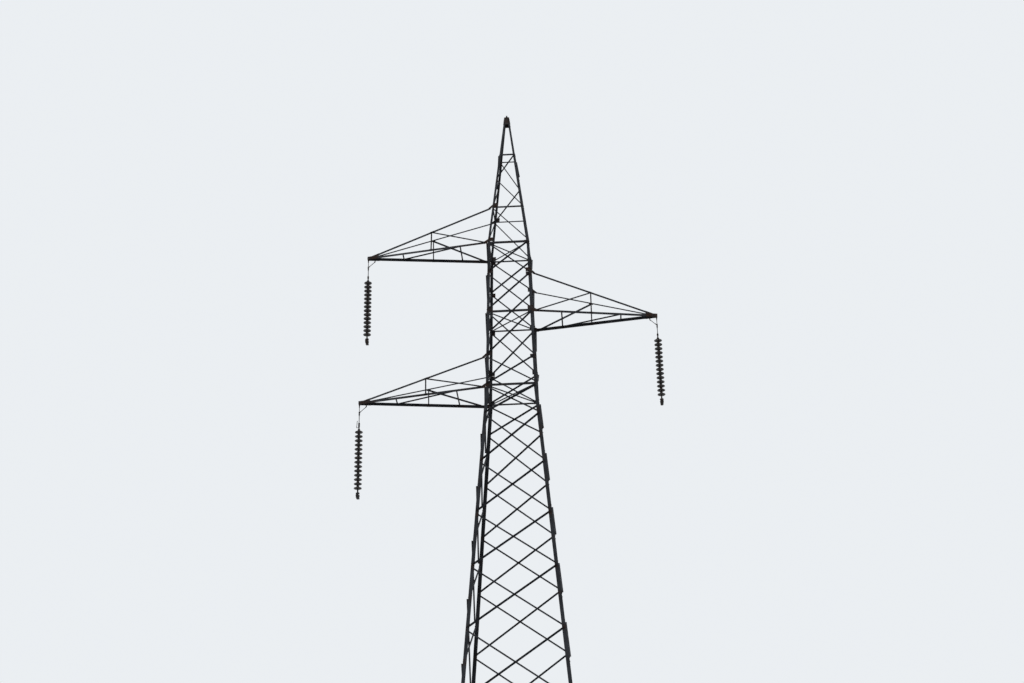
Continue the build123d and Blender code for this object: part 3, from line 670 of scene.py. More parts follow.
# Footings: cast blocks with worn corners and a top that sheds water, under a bed of mortar
footing = {
    "side": 0.8,
    "height": 0.3,
    "from heel": 0.035,
    "corner": 0.028,
    "cuts": 9,
    "unevenness": 0.0028,
    "seed": 7,
    "fall": 0.009,
    "flat": 0.25,
    "plate": 0.38,
    "bed": 0.02,
    "bed height": 0.012,
    "bed edge": 0.004,
    "smooth": 35,
}


def footPlaces():
    centre = halfAt(stretches["base"], footing["height"]) - footing["from heel"]
    for quarter in range(4):
        yield turned(90 * quarter) @ Matrix.Translation((-centre, -centre, 0))


def makeFootings():
    side = footing["side"] - 2 * footing["unevenness"]
    height, fall, smooth = footing["height"], footing["fall"], footing["smooth"]
    bpy.ops.mesh.primitive_cube_add(size=1, location=(0, 0, height / 2), scale=(side, side, height))
    block = bpy.context.object
    applyPlace(block)
    startEdit()
    choose("EDGE", lambda edge: max(v.co.z for v in edge.verts) > height - 0.001)
    bpy.ops.mesh.bevel(offset=footing["corner"], segments=3, affect="EDGES")
    bpy.ops.mesh.select_all(action="SELECT")
    bpy.ops.mesh.subdivide(number_cuts=footing["cuts"])
    # The top's rim is lowered, and all but its flat middle and the underside is made uneven
    choose("VERT", lambda v: v.co.z > height - 0.02 and max(abs(v.co.x), abs(v.co.y)) > footing["flat"])
    bpy.ops.transform.translate(value=(0, 0, -fall))
    choose("VERT", lambda v: 0.002 < v.co.z < height - fall / 2)
    bpy.ops.transform.vertex_random(offset=footing["unevenness"], normal=1, seed=footing["seed"])
    endEdit()
    copies = placeCopies(block, footPlaces())
    blocks = finishPiece(copies, "cast_footings", "tower", "concrete", smooth)
    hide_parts("footings")
    outer, worn = footing["plate"] / 2, footing["bed edge"]
    rim = [(outer + footing["bed"], height - fall), (outer + worn, height + footing["bed height"])]
    bed = turnedShape([(half * math.sqrt(2), z) for half, z in rim], 4)
    bed.rotation_euler = (0, 0, math.radians(45))
    applyPlace(bed)
    startEdit()
    choose("EDGE", lambda edge: edge.calc_face_angle(0) > 0.2)
    bpy.ops.mesh.bevel(offset=worn, segments=2, affect="EDGES")
    endEdit()
    finishPiece(placeCopies(bed, footPlaces()), "mortar_beds", "tower", "mortar", smooth)


makeFootings()

# Ribs in front of and behind each leg's heel, on its base plate
footRib = {
    "outer": 0.095,
    "inner": 0.16,
    "height": 0.15,
    "thick": 0.01,
    "toe": 0.02,
    "top": 0.02,
    "sunk": 0.006,
}


def ribShape(length, way):
    # The rib runs towards -X. Its root follows the leg, which leans away from it (1) or over it (-1)
    tall, toe, top = footRib["height"], footRib["toe"], footRib["top"]
    size = (2 * length, footRib["thick"], tall)
    bpy.ops.mesh.primitive_cube_add(size=1, location=(0, 0, tall / 2), scale=size)
    rib = bpy.context.object
    applyPlace(rib)
    startEdit()
    lean = way * slopeOf(stretches["base"]) * math.sqrt(2)
    cuts = [((footRib["sunk"], 0, 0), (1, 0, -lean)), ((-length, 0, toe), (toe - tall, 0, length - top))]
    for point, normal in cuts:
        bpy.ops.mesh.select_all(action="SELECT")
        bpy.ops.mesh.bisect(plane_co=point, plane_no=normal, use_fill=True, clear_outer=True)
    bpy.ops.mesh.select_all(action="SELECT")
    bpy.ops.mesh.bevel(offset=plateEdge, segments=1, affect="EDGES")
    endEdit()
    return rib


def makeFootRibs():
    base, foot = stretches["base"], levels["leg foot"]
    heel = halfAt(base, foot)
    inside = heel - base["thick"]
    ribs = {ribShape(footRib["outer"], 1): (heel, 45), ribShape(footRib["inner"], -1): (inside, 225)}
    copies = []
    for rib, (corner, turn) in ribs.items():
        place = Matrix.Translation((-corner, -corner, foot)) @ turned(turn)
        copies += placeCopies(rib, [turned(90 * quarter) @ place for quarter in range(4)])
    finishPiece(copies, "foot_ribs", "tower", "plate steel")


makeFootRibs()

# Splices of the lower legs: plates outside and inside both flanges
splice = {
    "heights": (6.9, 12.3),
    "size": (0.08, 0.48, 0.008),
    "inset": 0.06,
    "bolt rows": (-0.2, -0.135, -0.07, 0.07, 0.135, 0.2),
}


def makeSplices():
    base = stretches["base"]
    thick = splice["size"][2]
    places = []
    for z in splice["heights"]:
        for side in (-1, 1):
            middle = facePoint(base, side, splice["inset"], z)
            leg = facePoint(base, side, splice["inset"], z + 1) - middle
            turn = Matrix.Rotation(-math.atan2(leg.x, leg.y), 4, "Z")
            for depth in (thick / 2, -base["thick"] - thick / 2):
                local = Matrix.Translation(middle + Vector((0, 0, depth))) @ turn
                places += [faceOf(base, quarter) @ local for quarter in range(4)]
    copies = placeCopies(plateShape(splice["size"]), places)
    return finishPiece(copies, "leg_splices", "tower", "leg steel")


splices = makeSplices()
print("footings, ribs and splices made")

# Bolts: width across the flats, height of the head, thickness and radius of the washer, end past the nut
boltSizes = {
    "small": (0.019, 0.008, 0.0025, 0.012, 0.006),
    "medium": (0.024, 0.010, 0.003, 0.015, 0.008),
    "large": (0.030, 0.013, 0.0035, 0.0185, 0.010),
}
boltShape = {
    "washer sides": 10,
    "thread sides": 8,
    "thread": 0.32,  # radius, as a share of the width
    "chamfer": (0.1, 0.86),  # how far down it starts, as a share of the width, and what it leaves
    "thread end": (0.15, 0.85),  # the same, by the thread's radius
    "spin": 0.45,  # from one bolt to the next, in radians
}


def makeBoltEnds(width, tall, washer, washerRadius, thread):
    corner, top = width / math.sqrt(3), washer + tall
    core = boltShape["thread"] * width
    drop, share = boltShape["chamfer"]
    endDrop, endShare = boltShape["thread end"]
    ring = [(washerRadius, 0), (washerRadius, washer)]
    hexagon = [(corner, washer), (corner, top - drop * width), (share * corner, top)]
    stub = [(core, top), (core, top + thread - endDrop * core), (endShare * core, top + thread)]
    head = join([turnedShape(ring, boltShape["washer sides"]), nutShape(hexagon)])
    parts = [turnedShape(ring, boltShape["washer sides"]), nutShape(hexagon)]
    nut = join(parts + [turnedShape(stub, boltShape["thread sides"])])
    return head, nut


boltEnds = {name: makeBoltEnds(*sizes) for name, sizes in boltSizes.items()}


def solidsAsTree(objects):
    every = bmesh.new()
    for item in objects:
        every.from_mesh(item.data)
    tree = BVHTree.FromBMesh(every)
    every.free()
    return tree


towerNames = frame["record"]["behaviour"]["bodies"]["tower"]
tower = solidsAsTree([cadNodes[name] for name in towerNames] + [splices])
boltPlaces = {}
boltReach = 0.04  # how far from a member's middle its outer faces may lie
looseBolts = []


def onto(point, axis):
    # A frame at a point whose Z follows an axis
    return Matrix.Translation(point) @ axis.to_track_quat("Z", "X").to_matrix().to_4x4()


def driveBolts(piece, local, points, size="medium"):
    # Each bolt's head and nut sit where its axis enters the steel from outside and from inside
    axis = (local.to_3x3() @ Vector((0, 0, 1))).normalized()
    places = boltPlaces.setdefault(piece, [])
    for point in points:
        middle = local @ point
        outer = tower.ray_cast(middle + axis * boltReach, -axis, 2 * boltReach)[0]
        inner = tower.ray_cast(middle - axis * boltReach, axis, 2 * boltReach)[0]
        if outer is None or inner is None:
            looseBolts.append((piece, tuple(round(value, 3) for value in middle)))
            continue
        spin = Matrix.Rotation(boltShape["spin"] * len(places), 4, "Z")
        places.append((boltEnds[size][0], onto(outer, axis) @ spin))
        places.append((boltEnds[size][1], onto(inner, -axis) @ spin))


def makeBolts():
    for piece, places in boltPlaces.items():
        copies = [placeCopy(model, place) for model, place in places]
        finishPiece(copies, piece, "tower", "bolt steel")
    for head, nut in boltEnds.values():
        bpy.data.objects.remove(head)
        bpy.data.objects.remove(nut)


def along(start, end, *distances):
    # Points on a line: a distance below zero is taken back from its end
    way = (end - start).normalized()
    return [start + way * far if far >= 0 else end + way * far for far in distances]


def crossing(a, b, c, d):
    r, s = b - a, d - c
    share = ((c.x - a.x) * s.y - (c.y - a.y) * s.x) / (r.x * s.y - r.y * s.x)
    return a + r * share


# Crossed bars: how far from the legs' heels and from a panel's levels they end, and their bolts
crossedBars = {
    "heel gap": 0.016,
    "lift": {"base": 0.045, "waist": 0.06},
    "inner lift": 0.025,
    "width": {"base": 0.05, "waist": 0.045},
    "outer bolts": {"base": (0.024, 0.064, -0.064, -0.024), "waist": (0.024, 0.095, -0.095, -0.024)},
    "inner bolts": (0.024, -0.024),
}


def boltPanel(piece, name, quarter, low, high, innerLow, innerHigh):
    stretch, width, lift = stretches[name], crossedBars["width"][name], crossedBars["lift"][name]
    outerInset = crossedBars["heel gap"] + width / 2
    innerInset = stretch["thick"] + width
    a = facePoint(stretch, -1, outerInset, low + lift)
    b = facePoint(stretch, 1, outerInset, high - lift)
    c = facePoint(stretch, 1, innerInset, low + innerLow)
    d = facePoint(stretch, -1, innerInset, high - innerHigh)
    points = along(a, b, *crossedBars["outer bolts"][name]) + along(c, d, *crossedBars["inner bolts"])
    driveBolts(piece, faceOf(stretch, quarter), points + [crossing(a, b, c, d)])


def boltLowerBody():
    base, lift = stretches["base"], crossedBars["lift"]["base"]
    for quarter in range(4):
        heights = panelLevels(sideShares if quarter % 2 else frontShares)
        for low, high in zip(heights, heights[1:]):
            boltPanel("lower_body_bolts", "base", quarter, low, high, crossedBars["inner lift"], lift)
        rows = [z + row for z in splice["heights"] for row in splice["bolt rows"]]
        points = [facePoint(base, side, splice["inset"], z) for z in rows for side in (-1, 1)]
        driveBolts("splice_bolts", faceOf(base, quarter), points)


waistBolts = {
    "ring lifts": {"lower arm": 0.1, "right arm": 0.07, "upper arm": 0.1},
    "gusset": ((0.08, 0.028), (0.035, 0.128)),  # in from the heel, and up or down from the level
    "ring": (0.079, 0.012),  # in from the heel, and how far its ends are above and below its middle
    "ring middles": {"lower arm": 0.034, "right arm": 0.0, "upper arm": -0.034},
}


def boltWaist():
    waist, lifts = stretches["waist"], waistBolts["ring lifts"]
    names = ["lower arm", "lower arm top", "right arm", "right arm top", "upper arm"]
    for quarter in range(4):
        local = faceOf(waist, quarter)
        for low, high in zip(names, names[1:]):
            innerLow = lifts.get(low, crossedBars["inner lift"])
            innerHigh = lifts.get(high, crossedBars["lift"]["waist"])
            boltPanel("waist_bolts", "waist", quarter, levels[low], levels[high], innerLow, innerHigh)
            for inset, rise in waistBolts["gusset"]:
                left = facePoint(waist, -1, inset, levels[low] + rise)
                right = facePoint(waist, 1, inset, levels[high] - rise)
                driveBolts("waist_bolts", local, [left, right])
        inset, skew = waistBolts["ring"]
        for name, middle in waistBolts["ring middles"].items():
            for side in (-1, 1):
                point = facePoint(waist, side, inset, levels[name] + middle - side * skew)
                driveBolts("waist_bolts", local, [point], "small")


# The belt's bars and plates, and where along or across them their bolts are
belt = {
    "bar ends": (0.03, 0.08, -0.064, -0.024),
    "brace ends": (0.035, 0.09, 0.145, -0.09, -0.035),
    "brace width": 0.075,
    "brace lift": 0.06,
    "gusset": (0.05, 0.19),
    "gusset spread": 0.095,
    "gusset rise": 0.11,
    "short bars": (0.34, 0.67),
    "short bar inset": 0.0815,
    "short bar drop": 0.2,
    "short bar ends": (0.015, 0.03),
    "level bar": (0.014, 0.055),
    "level bar inset": 0.084,
}


def boltBelt():
    base = stretches["base"]
    gap, spread, rise = crossedBars["heel gap"], belt["gusset spread"], belt["gusset rise"]
    barInset, braceInset = gap + crossedBars["width"]["base"] / 2, gap + belt["brace width"] / 2
    beltLine = facePoint(base, 0, 0, levels["belt"]).y
    for quarter, side in itertools.product(range(4), (-1, 1)):
        local = faceOf(base, quarter)

        def drive(points, size="medium"):
            driveBolts("belt_bolts", local, points, size)

        def onLeg(inset, z):
            return facePoint(base, side, inset, z)

        top = onLeg(barInset, levels["lowest panel"] - crossedBars["lift"]["base"])
        middle = Vector((side * spread, beltLine + rise, 0))
        drive(along(middle, top, *belt["bar ends"]))
        foot = onLeg(braceInset, levels["leg foot"] + belt["brace lift"])
        head = Vector((side * spread, beltLine - rise, 0))
        drive(along(foot, head, *belt["brace ends"]), "large")
        meets = []
        for share in belt["short bars"]:
            end = onLeg(belt["short bar inset"], share * levels["belt"])
            meets.append(crossing(foot, head, end, Vector((0, end.y, 0))))
            drive(along(end, meets[-1], belt["short bar ends"][0]) + [meets[-1]])
        tops = (belt["short bars"][1] * levels["belt"], levels["belt"] - belt["short bar drop"])
        for z, meet in zip(tops, meets):
            drive(along(onLeg(belt["short bar inset"], z), meet, belt["short bar ends"][1]))
        end = onLeg(belt["level bar inset"], levels["belt"])
        drive(along(end, Vector((0, beltLine, 0)), *belt["level bar"]))
        drive([Vector((side * x, beltLine, 0)) for x in belt["gusset"]])


# The peak's bars and where their bolts are, and the bolts of its rings, leg splices and cap
peakBolts = {
    "width": 0.035,
    "lift": 0.045,
    "inner end": 0.075,
    "ends": (0.02, -0.02),
    "legs": ((0.06, 0, "upper arm top"), (0.062, -0.012, "peak ring"), (0.035, -0.1, "peak ring")),
    "cap drops": (0.07, 0.14, 0.21, 0.27),
    "cap inset": 0.032,
}


def boltPeak():
    peak, lift, width = stretches["peak"], peakBolts["lift"], peakBolts["width"]
    start, top = levels["upper arm"], levels["upper arm top"]
    middle, ring = levels["peak middle"], levels["peak ring"]
    inner, outer = peak["thick"] + width, crossedBars["heel gap"] + width / 2
    for quarter in range(4):
        bars = [(1, inner, top + lift, middle - lift), (-1, outer, middle + lift, ring - lift)]
        if quarter == 2:
            bars.append((-1, outer, start + lift, top - lift))
        else:
            bars.append((1, inner, start + lift, top - peakBolts["inner end"]))
        points = []
        for side, inset, low, high in bars:
            lowEnd, highEnd = facePoint(peak, side, inset, low), facePoint(peak, -side, inset, high)
            points += along(lowEnd, highEnd, *peakBolts["ends"])
        for side in (-1, 1):
            for inset, rise, name in peakBolts["legs"]:
                points.append(facePoint(peak, side, inset, levels[name] + rise))
            for drop in peakBolts["cap drops"]:
                points.append(facePoint(peak, side, peakBolts["cap inset"], levels["cap"] - drop))
        driveBolts("peak_bolts", faceOf(peak, quarter), points, "small")


# The arms, all worked out towards +X and then turned by so many degrees
arms = {
    "upper_left": {"stretch": "peak", "level": "upper arm", "reach": 4.7, "turn": 180},
    "right": {"stretch": "waist", "level": "right arm", "reach": 4.7, "turn": 0},
    "lower_left": {"stretch": "waist", "level": "lower arm", "reach": 4.9, "turn": 180},
}
# Bolts of an arm, measured in the plane of its near side, from the root's heel out and up
armBolts = {
    "tip half": 0.03,
    "tip drop": 0.035,
    "post from tip": 0.53,
    "struts from tip": (0.29, 0.77),
    "diagonal foot": (0.085, -0.03),
    "diagonal head": 0.04,
    "chord line": -0.037,
    "top chord line": -0.02,
    "diagonal": (0.026, -0.05),
    "root": (0.118, -0.06),
    "top chord": (0.088, 0.118, -0.33, -0.27),
    "chord": (-0.32, -0.25, -0.18, -0.1),
    "post plate": 0.045,
    "post foot share": 0.8,
    "strut inset": 0.048,
    "strut drop": 0.006,
}


def boltArm(name, arm):
    piece, stretch = f"{name}_arm_bolts", stretches[arm["stretch"]]
    low, high = levels[arm["level"]], levels[arm["level"] + " top"]
    lowHalf, highHalf, tipHalf = halfAt(stretch, low), halfAt(stretch, high), armBolts["tip half"]
    a, b = Vector((lowHalf, -lowHalf, low)), Vector((highHalf, -highHalf, high))
    drop = armBolts["tip drop"]
    tip = Vector((arm["reach"], -tipHalf, low - drop))
    ahead = (tip - a).normalized()
    outward = ahead.cross(b - a).normalized()
    near = Matrix((ahead, outward.cross(ahead), outward)).transposed().to_4x4()
    near.translation = a
    root = near.inverted() @ b
    end = near.inverted() @ tip
    turn = turned(arm["turn"])
    mirror = Matrix.Scale(-1, 4, (0, 1, 0))
    fall = root.y / (end.x - root.x)
    postAt = end.x * (1 - armBolts["post from tip"])
    postTop = fall * (end.x - postAt)
    foot = Vector((*armBolts["diagonal foot"], 0))
    head = Vector((postAt, postTop - armBolts["diagonal head"], 0))
    side = Vector((fall, 1, 0)).normalized() * armBolts["top chord line"]
    chord = Vector((0, armBolts["chord line"], 0))
    points = along(foot, head, *armBolts["diagonal"]) + [Vector((*armBolts["root"], 0))]
    points += along(root + side, end + side, *armBolts["top chord"])
    points += along(chord, end + chord, *armBolts["chord"])
    points.append(Vector((postAt, armBolts["post foot share"] * armBolts["chord line"], 0)))
    for shift in (-armBolts["post plate"], armBolts["post plate"]):
        points.append(Vector((postAt + shift, armBolts["chord line"], 0)))
        points.append(Vector((postAt + shift, postTop - shift * fall, 0)) + side)
    for flip in (turn, turn @ mirror):
        driveBolts(piece, flip @ near, points)
    span = arm["reach"] - lowHalf
    struts = []
    for share in armBolts["struts from tip"]:
        y = tipHalf + share * (lowHalf - tipHalf) - armBolts["strut inset"]
        x, z = arm["reach"] - share * span, low - drop * (1 - share) - armBolts["strut drop"]
        struts += [Vector((x, -y, z)), Vector((x, y, z))]
    driveBolts(piece, turn, struts, "small")
    gusset = waistBolts["gusset"]
    leaves = [facePoint(stretch, 1, inset, z + rise) for z in (low, high) for inset, rise in gusset]
    for flip in (turn, turn @ mirror):
        driveBolts(piece, flip @ faceOf(stretch, 0), leaves)


# Anchor bolts of the base plates: square washer, nut, lock nut and thread, as radii and heights
anchor = {
    "spread": 0.14,
    "washer": (0.07, 0.07, 0.01),
    "nut": [(0.0266, 0.01), (0.0266, 0.031), (0.0235, 0.034)],
    "lock nut": [(0.0266, 0.0345), (0.0266, 0.0465), (0.0235, 0.0495)],
    "lock nut turn": 22,
    "thread": [(0.015, 0.0495), (0.015, 0.078), (0.0128, 0.082)],
    "thread sides": 12,
}


def makeAnchors():
    foot, spread, thick = levels["leg foot"], anchor["spread"], anchor["washer"][2]
    lockNut = nutShape(anchor["lock nut"])
    lockNut.rotation_euler = (0, 0, math.radians(anchor["lock nut turn"]))
    parts = [plateShape(anchor["washer"], (0, 0, thick / 2)), nutShape(anchor["nut"]), lockNut]
    bolt = join(parts + [turnedShape(anchor["thread"], anchor["thread sides"])])
    spots = [Matrix.Translation((x * spread, y * spread, foot)) for x in (-1, 1) for y in (-1, 1)]
    places = [place @ spot for place in footPlaces() for spot in spots]
    finishPiece(placeCopies(bolt, places), "anchor_bolts", "tower", "bolt steel")


# Step bolts up the back of one leg, left and right of its middle, where nothing else is fastened
steps = {
    "from": 3.0,
    "to": 32.6,
    "spacing": 0.4,
    "insets": (0.35, 0.65),
    "shifts": (0, 0.1, -0.1, 0.2, -0.2),
    "shape": [
        (0.013, 0), (0.013, 0.012), (0.008, 0.0125), (0.008, 0.142), (0.014, 0.1425), (0.014, 0.149)
    ],
    "sides": 10,
    "clear": 0.02,
    "level within": 0.0015,
}


def stepPlace(stretch, inset, z):
    # The place of a step, or None where a bar or plate is in its way
    local, clear = faceOf(stretch, 2), steps["clear"]
    axis = (local.to_3x3() @ Vector((0, 0, 1))).normalized()
    spot = facePoint(stretch, -1, inset, z)
    for dx, dy in ((0, 0), (clear, 0), (-clear, 0), (0, clear), (0, -clear)):
        start = local @ (spot + Vector((dx, dy, boltReach)))
        distance = tower.ray_cast(start, -axis, 2 * boltReach)[3]
        if distance is None or abs(distance - boltReach) > steps["level within"]:
            return None
    return onto(local @ spot, axis)


def makeSteps():
    places = []
    count = int((steps["to"] - steps["from"]) / steps["spacing"]) + 1
    for index in range(count):
        z = steps["from"] + index * steps["spacing"]
        stretch = next(item for item in stretches.values() if z < item["high"])
        inset = steps["insets"][index % 2] * stretch["leg"]
        tries = [stepPlace(stretch, inset, z + shift) for shift in steps["shifts"]]
        places += [place for place in tries if place][:1]
    copies = placeCopies(turnedShape(steps["shape"], steps["sides"]), places)
    finishPiece(copies, "step_bolts", "tower", "bolt steel", smooth=40)
    print("step bolts:", len(places))


boltLowerBody()
boltWaist()
boltBelt()
boltPeak()
for armName, armValues in arms.items():
    boltArm(armName, armValues)
makeAnchors()
makeSteps()
makeBolts()
print("bolts driven:", {piece: len(places) // 2 for piece, places in boltPlaces.items()})
print("bolts that found no steel:", looseBolts)

# Insulator strings: where each hangs, the height of its first cap and how far the joint is over that
strings = {
    "upper_left": {"x": -4.7, "first cap": 28.529, "joint over": 0.436},
    "right": {"x": 4.7, "first cap": 25.955, "joint over": 0.41},
    "lower_left": {"x": -4.9, "first cap": 23.195, "joint over": 0.52},
}
shell = {
    "count": 14,
    "pitch": 0.146,
    "turn": 0.13,  # from one disc to the next, in radians
    "segments": 40,
    "smooth": 38,
    # Radius and height from the cap's top: from the stem's hole out over the ribs, round the rim and up
    "profile": [
        (0.013, -0.084), (0.013, -0.094), (0.0295, -0.0975), (0.0305, -0.1125), (0.033, -0.1145),
        (0.038, -0.1145), (0.0405, -0.1125), (0.0435, -0.1025), (0.052, -0.1015), (0.0595, -0.1045),
        (0.0625, -0.1195), (0.0645, -0.122), (0.069, -0.122), (0.0712, -0.1195), (0.0745, -0.1065),
        (0.082, -0.1055), (0.0895, -0.1085), (0.0925, -0.1215), (0.0945, -0.124), (0.099, -0.124),
        (0.1012, -0.1215), (0.1045, -0.1125), (0.114, -0.1135), (0.1225, -0.1175), (0.1255, -0.1165),
        (0.127, -0.1125), (0.1262, -0.1085), (0.122, -0.1045), (0.108, -0.0975), (0.09, -0.0905),
        (0.074, -0.0855), (0.06, -0.082), (0.05, -0.0805), (0.0365, -0.08), (0.0365, -0.03),
    ],
}


def unitPlaces(line):
    for index in range(shell["count"]):
        place = Vector((line["x"], 0, line["first cap"] - index * shell["pitch"]))
        yield Matrix.Translation(place) @ Matrix.Rotation(shell["turn"] * index, 4, "Z")


def makeShells(name, line):
    copies = placeCopies(turnedShape(shell["profile"], shell["segments"]), unitPlaces(line))
    body, smooth = f"{name}_string", shell["smooth"]
    shells = finishPiece(copies, f"{name}_shells", body, "porcelain", smooth)
    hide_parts(f"{name}_string_discs")


# Cement that shows round each stem under its shell
collar = {
    "profile": [(0.0122, -0.088), (0.019, -0.0945), (0.0185, -0.0985), (0.0122, -0.101)],
    "segments": 16,
    "smooth": 40,
}


def makeCollars(name, line):
    copies = placeCopies(turnedShape(collar["profile"], collar["segments"]), unitPlaces(line))
    finishPiece(copies, f"{name}_cement", f"{name}_string", "mortar", collar["smooth"])


# Small iron parts of a hanger and a string's top. Nuts, heads and washers are radii and heights, and the
# rest is measured up from the string's joint, down from the hanger's pins, or out from a fork's middle
fittings = {
    "hanger": 0.285,
    "spread": 0.22,
    "top cheek": 0.014,
    "joint cheek": 0.015,
    "round sides": 16,
    "pin head": [(0.0135, 0), (0.0135, 0.0052), (0.0115, 0.0072)],
    "pin washer": [(0.0125, 0), (0.0125, 0.002)],
    "rod nut": [(0.0185, 0), (0.0185, 0.012), (0.016, 0.0145)],
    "link nut": [(0.0208, 0), (0.0208, 0.014), (0.0182, 0.0165)],
    "bridge bolt": [(0.0139, 0), (0.0139, 0.009), (0.0121, 0.011)],
    "head top": 0.06,
    "slant foot": 0.024,
    "foot nut": 0.022,
    "fork foot": 0.052,
    "slant top": 0.045,
    "top nut": 0.016,
    "smooth": 30,
}
# Split pin through the end of a fork's pin: the eye on one side, and two legs bent apart on the other
splitPin = {
    "eye": 0.0034,
    "wire": 0.0013,
    "eye from": -0.0085,
    "leg from": -0.0088,
    "straight": 0.0175,
    "bent": 0.018,
    "leg": 0.0115,
    "tip": 0.0185,
    "tip share": 0.6,
    "apart": 0.55,
    "spread": 24,
    "from cheek": 0.0042,
}


def makeSplitPin():
    # The pin lies along X
    wire, eye, length, straight = (splitPin[name] for name in ("wire", "eye", "leg", "straight"))
    bpy.ops.mesh.primitive_torus_add(
        major_segments=12,
        minor_segments=6,
        major_radius=eye,
        minor_radius=wire,
        location=(splitPin["eye from"] - eye, 0, 0),
        rotation=(math.radians(90), 0, 0),
    )
    parts = [bpy.context.object]
    tip = (splitPin["tip share"] * wire, splitPin["tip"] + length)
    for way in (-1, 1):
        shaft = turnedShape([(wire, 0), (wire, straight), (wire, straight + length), tip], 6)
        startEdit()
        choose("VERT", lambda v: v.co.z > splitPin["bent"])
        bend = math.radians(way * splitPin["spread"])
        bpy.ops.transform.rotate(value=bend, orient_axis="X", center_override=(0, 0, straight))
        endEdit()
        shaft.rotation_euler = (0, math.radians(90), 0)
        shaft.location = (splitPin["leg from"], way * splitPin["apart"] * wire, 0)
        parts.append(shaft)
    applyPlace(*parts)
    return join(parts)


def pinPlaces(point, axis, cheek):
    # Where the two ends of a pin go, on the outer faces of its fork
    axis = Vector(axis)
    return onto(point + axis * cheek, axis), onto(point - axis * cheek, -axis)


def placePins(pairs):
    # The head at one end of each pin, and the washer and split pin at the other, with Z out along it
    head = turnedShape(fittings["pin head"], fittings["round sides"])
    washer = turnedShape(fittings["pin washer"], fittings["round sides"])
    split = makeSplitPin()
    split.location = (0, 0, splitPin["from cheek"])
    applyPlace(split)
    ends = (head, join([washer, split]))
    copies = [placeCopy(model, place) for pair in pairs for model, place in zip(ends, pair)]
    for model in ends:
        bpy.data.objects.remove(model)
    return copies


def finishIron(copies, name, body):
    finishPiece(copies, name, body, "fitting iron", fittings["smooth"])


def makeHangerIron(name, line, joint):
    side = 1 if line["x"] > 0 else -1
    pinHeight = joint.z + fittings["hanger"]
    pins = [Vector((line["x"] - side * shift, 0, pinHeight)) for shift in (0, fittings["spread"])]
    copies = placePins([pinPlaces(point, (side, 0, 0), fittings["top cheek"]) for point in pins])
    foot = joint + Vector((-side * fittings["slant foot"], 0, fittings["head top"]))
    top = Vector((line["x"] - side * fittings["spread"], 0, pinHeight - fittings["slant top"]))
    slant = (top - foot).normalized()
    up = Vector((0, 0, 1))
    places = [
        onto(joint + up * fittings["head top"], up),
        onto(Vector((line["x"], 0, pinHeight - fittings["fork foot"])), -up),
        onto(foot + slant * fittings["foot nut"], slant),
        onto(top - slant * fittings["top nut"], -slant),
    ]
    copies += placeCopies(nutShape(fittings["rod nut"]), places)
    finishIron(copies, f"{name}_hanger_nuts", f"{name}_hanger")


smallNut = [(0.0104, 0), (0.0104, 0.0075), (0.009, 0.009)]

# The bottom link and the clamp under the last unit: heights over the trunnion, and for the crown and the
# bow over the wire, with half widths, sizes and profiles
clamp = {
    "link": 0.2,
    "strap": 0.05,
    "nut gap": 0.0005,
    "bridge bolt": 0.067,
    "trunnion nut": [(0.0139, 0), (0.0139, 0.0085), (0.0121, 0.0105)],
    "trunnion washer": [(0.0155, 0), (0.0155, 0.0025)],
    "wire": -0.05,
    "crown": 0.034,
    "keeper": (0.112, 0.046, 0.008),
    "keeper from middle": 0.056,
    "bow": {
        "half": 0.0445,
        "radius": 0.005,
        "low": -0.0495,
        "corner": 0.011,
        "top": 0.055,
        "sides": 8,
        "bend steps": 4,
    },
}


def makeBow():
    # A squared U bolt under the clamp, its bends spun from the end of each leg
    bow = clamp["bow"]
    half, low, corner, top = (bow[name] for name in ("half", "low", "corner", "top"))
    bend = {"steps": bow["bend steps"], "angle": math.radians(90)}
    bpy.ops.mesh.primitive_circle_add(
        vertices=bow["sides"], radius=bow["radius"], fill_type="NGON", location=(half, 0, top)
    )
    applyPlace(bpy.context.object)
    startEdit()
    bpy.ops.mesh.select_mode(type="FACE")
    bpy.ops.mesh.select_all(action="SELECT")
    bpy.ops.mesh.extrude_region_move(TRANSFORM_OT_translate={"value": (0, 0, low + corner - top)})
    bpy.ops.mesh.spin(**bend, center=(half - corner, 0, low + corner), axis=(0, 1, 0))
    bpy.ops.mesh.extrude_region_move(TRANSFORM_OT_translate={"value": (2 * (corner - half), 0, 0)})
    bpy.ops.mesh.spin(**bend, center=(corner - half, 0, low + corner), axis=(0, 1, 0))
    bpy.ops.mesh.extrude_region_move(TRANSFORM_OT_translate={"value": (0, 0, top - low - corner)})
    bpy.ops.mesh.select_all(action="SELECT")
    bpy.ops.mesh.normals_make_consistent(inside=False)
    endEdit()
    return bpy.context.object


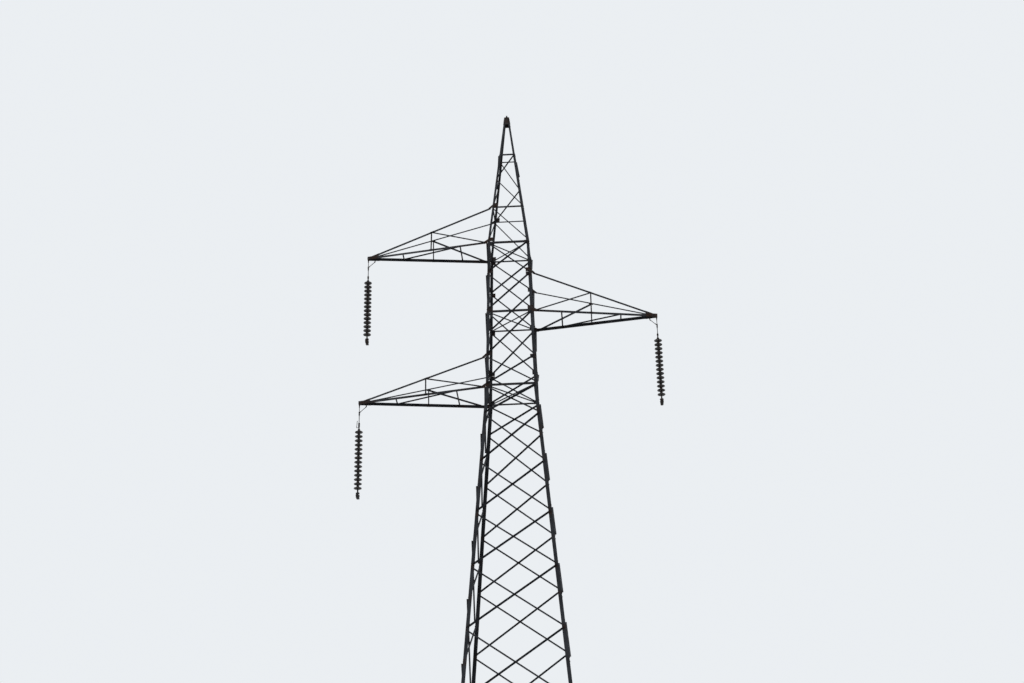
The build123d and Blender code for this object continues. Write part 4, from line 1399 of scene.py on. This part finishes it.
def makeClampIron(name, line, trunnion):
    wire = (trunnion + Vector((0, 0, clamp["wire"]))).z
    crown = wire + clamp["crown"]
    thick, half = clamp["keeper"][2], clamp["bow"]["half"]
    middles = [Vector((line["x"], way * clamp["keeper from middle"], 0)) for way in (-1, 1)]

    def raised(spots, height):
        return [Matrix.Translation(spot + Vector((0, 0, height))) for spot in spots]

    copies = placeCopies(plateShape(clamp["keeper"]), raised(middles, crown + thick / 2))
    copies += placeCopies(makeBow(), raised(middles, wire))
    legs = [spot + Vector((x, 0, 0)) for spot in middles for x in (-half, half)]
    copies += placeCopies(nutShape(smallNut), raised(legs, crown + thick))
    washer = turnedShape(clamp["trunnion washer"], fittings["round sides"])
    nut = join([washer, nutShape(clamp["trunnion nut"])])
    copies += placeCopies(nut, pinPlaces(trunnion, (1, 0, 0), clamp["strap"] + clamp["nut gap"]))
    finishIron(copies, f"{name}_clamp_bolts", f"{name}_clamp")


def makeStringIron(name, joint, trunnion):
    copies = placePins([pinPlaces(joint, (0, -1, 0), fittings["joint cheek"])])
    under = onto(joint - Vector((0, 0, fittings["fork foot"])), Vector((0, 0, -1)))
    copies += placeCopies(nutShape(fittings["link nut"]), [under])
    bolt = trunnion + Vector((0, 0, clamp["bridge bolt"]))
    copies += placeCopies(nutShape(fittings["bridge bolt"]), pinPlaces(bolt, (1, 0, 0), clamp["strap"]))
    finishIron(copies, f"{name}_string_nuts", f"{name}_string")


def makeString(name, line):
    firstCap = Vector((line["x"], 0, line["first cap"]))
    joint = firstCap + Vector((0, 0, line["joint over"]))
    trunnion = firstCap - Vector((0, 0, shell["count"] * shell["pitch"] + clamp["link"]))
    makeShells(name, line)
    makeCollars(name, line)
    makeHangerIron(name, line, joint)
    makeStringIron(name, joint, trunnion)
    makeClampIron(name, line, trunnion)


for stringName, stringValues in strings.items():
    makeString(stringName, stringValues)
print("insulator strings dressed")

# Bolts of the earth wire clamp, out from its middle along both axes and up from the cap: the foot's on
# top of it, and the side ones under the wire
earthClamp = {
    "foot": (0.04, 0.055, 0.014),
    "side": (0.022, 0.05, 0.027),
    "washer": [(0.012, 0), (0.012, 0.0025)],
    "washer sides": 12,
}


def makeEarthClampBolts():
    bolt = join([turnedShape(earthClamp["washer"], earthClamp["washer sides"]), nutShape(smallNut)])
    places = []
    for way, end in itertools.product((-1, 1), (-1, 1)):
        x, y, rise = earthClamp["foot"]
        places.append(Matrix.Translation((way * x, end * y, levels["cap"] + rise)))
        x, y, rise = earthClamp["side"]
        places.append(onto(Vector((way * x, end * y, levels["cap"] + rise)), Vector((way, 0, 0))))
    finishIron(placeCopies(bolt, places), "earth_clamp_bolts", "tower")


makeEarthClampBolts()
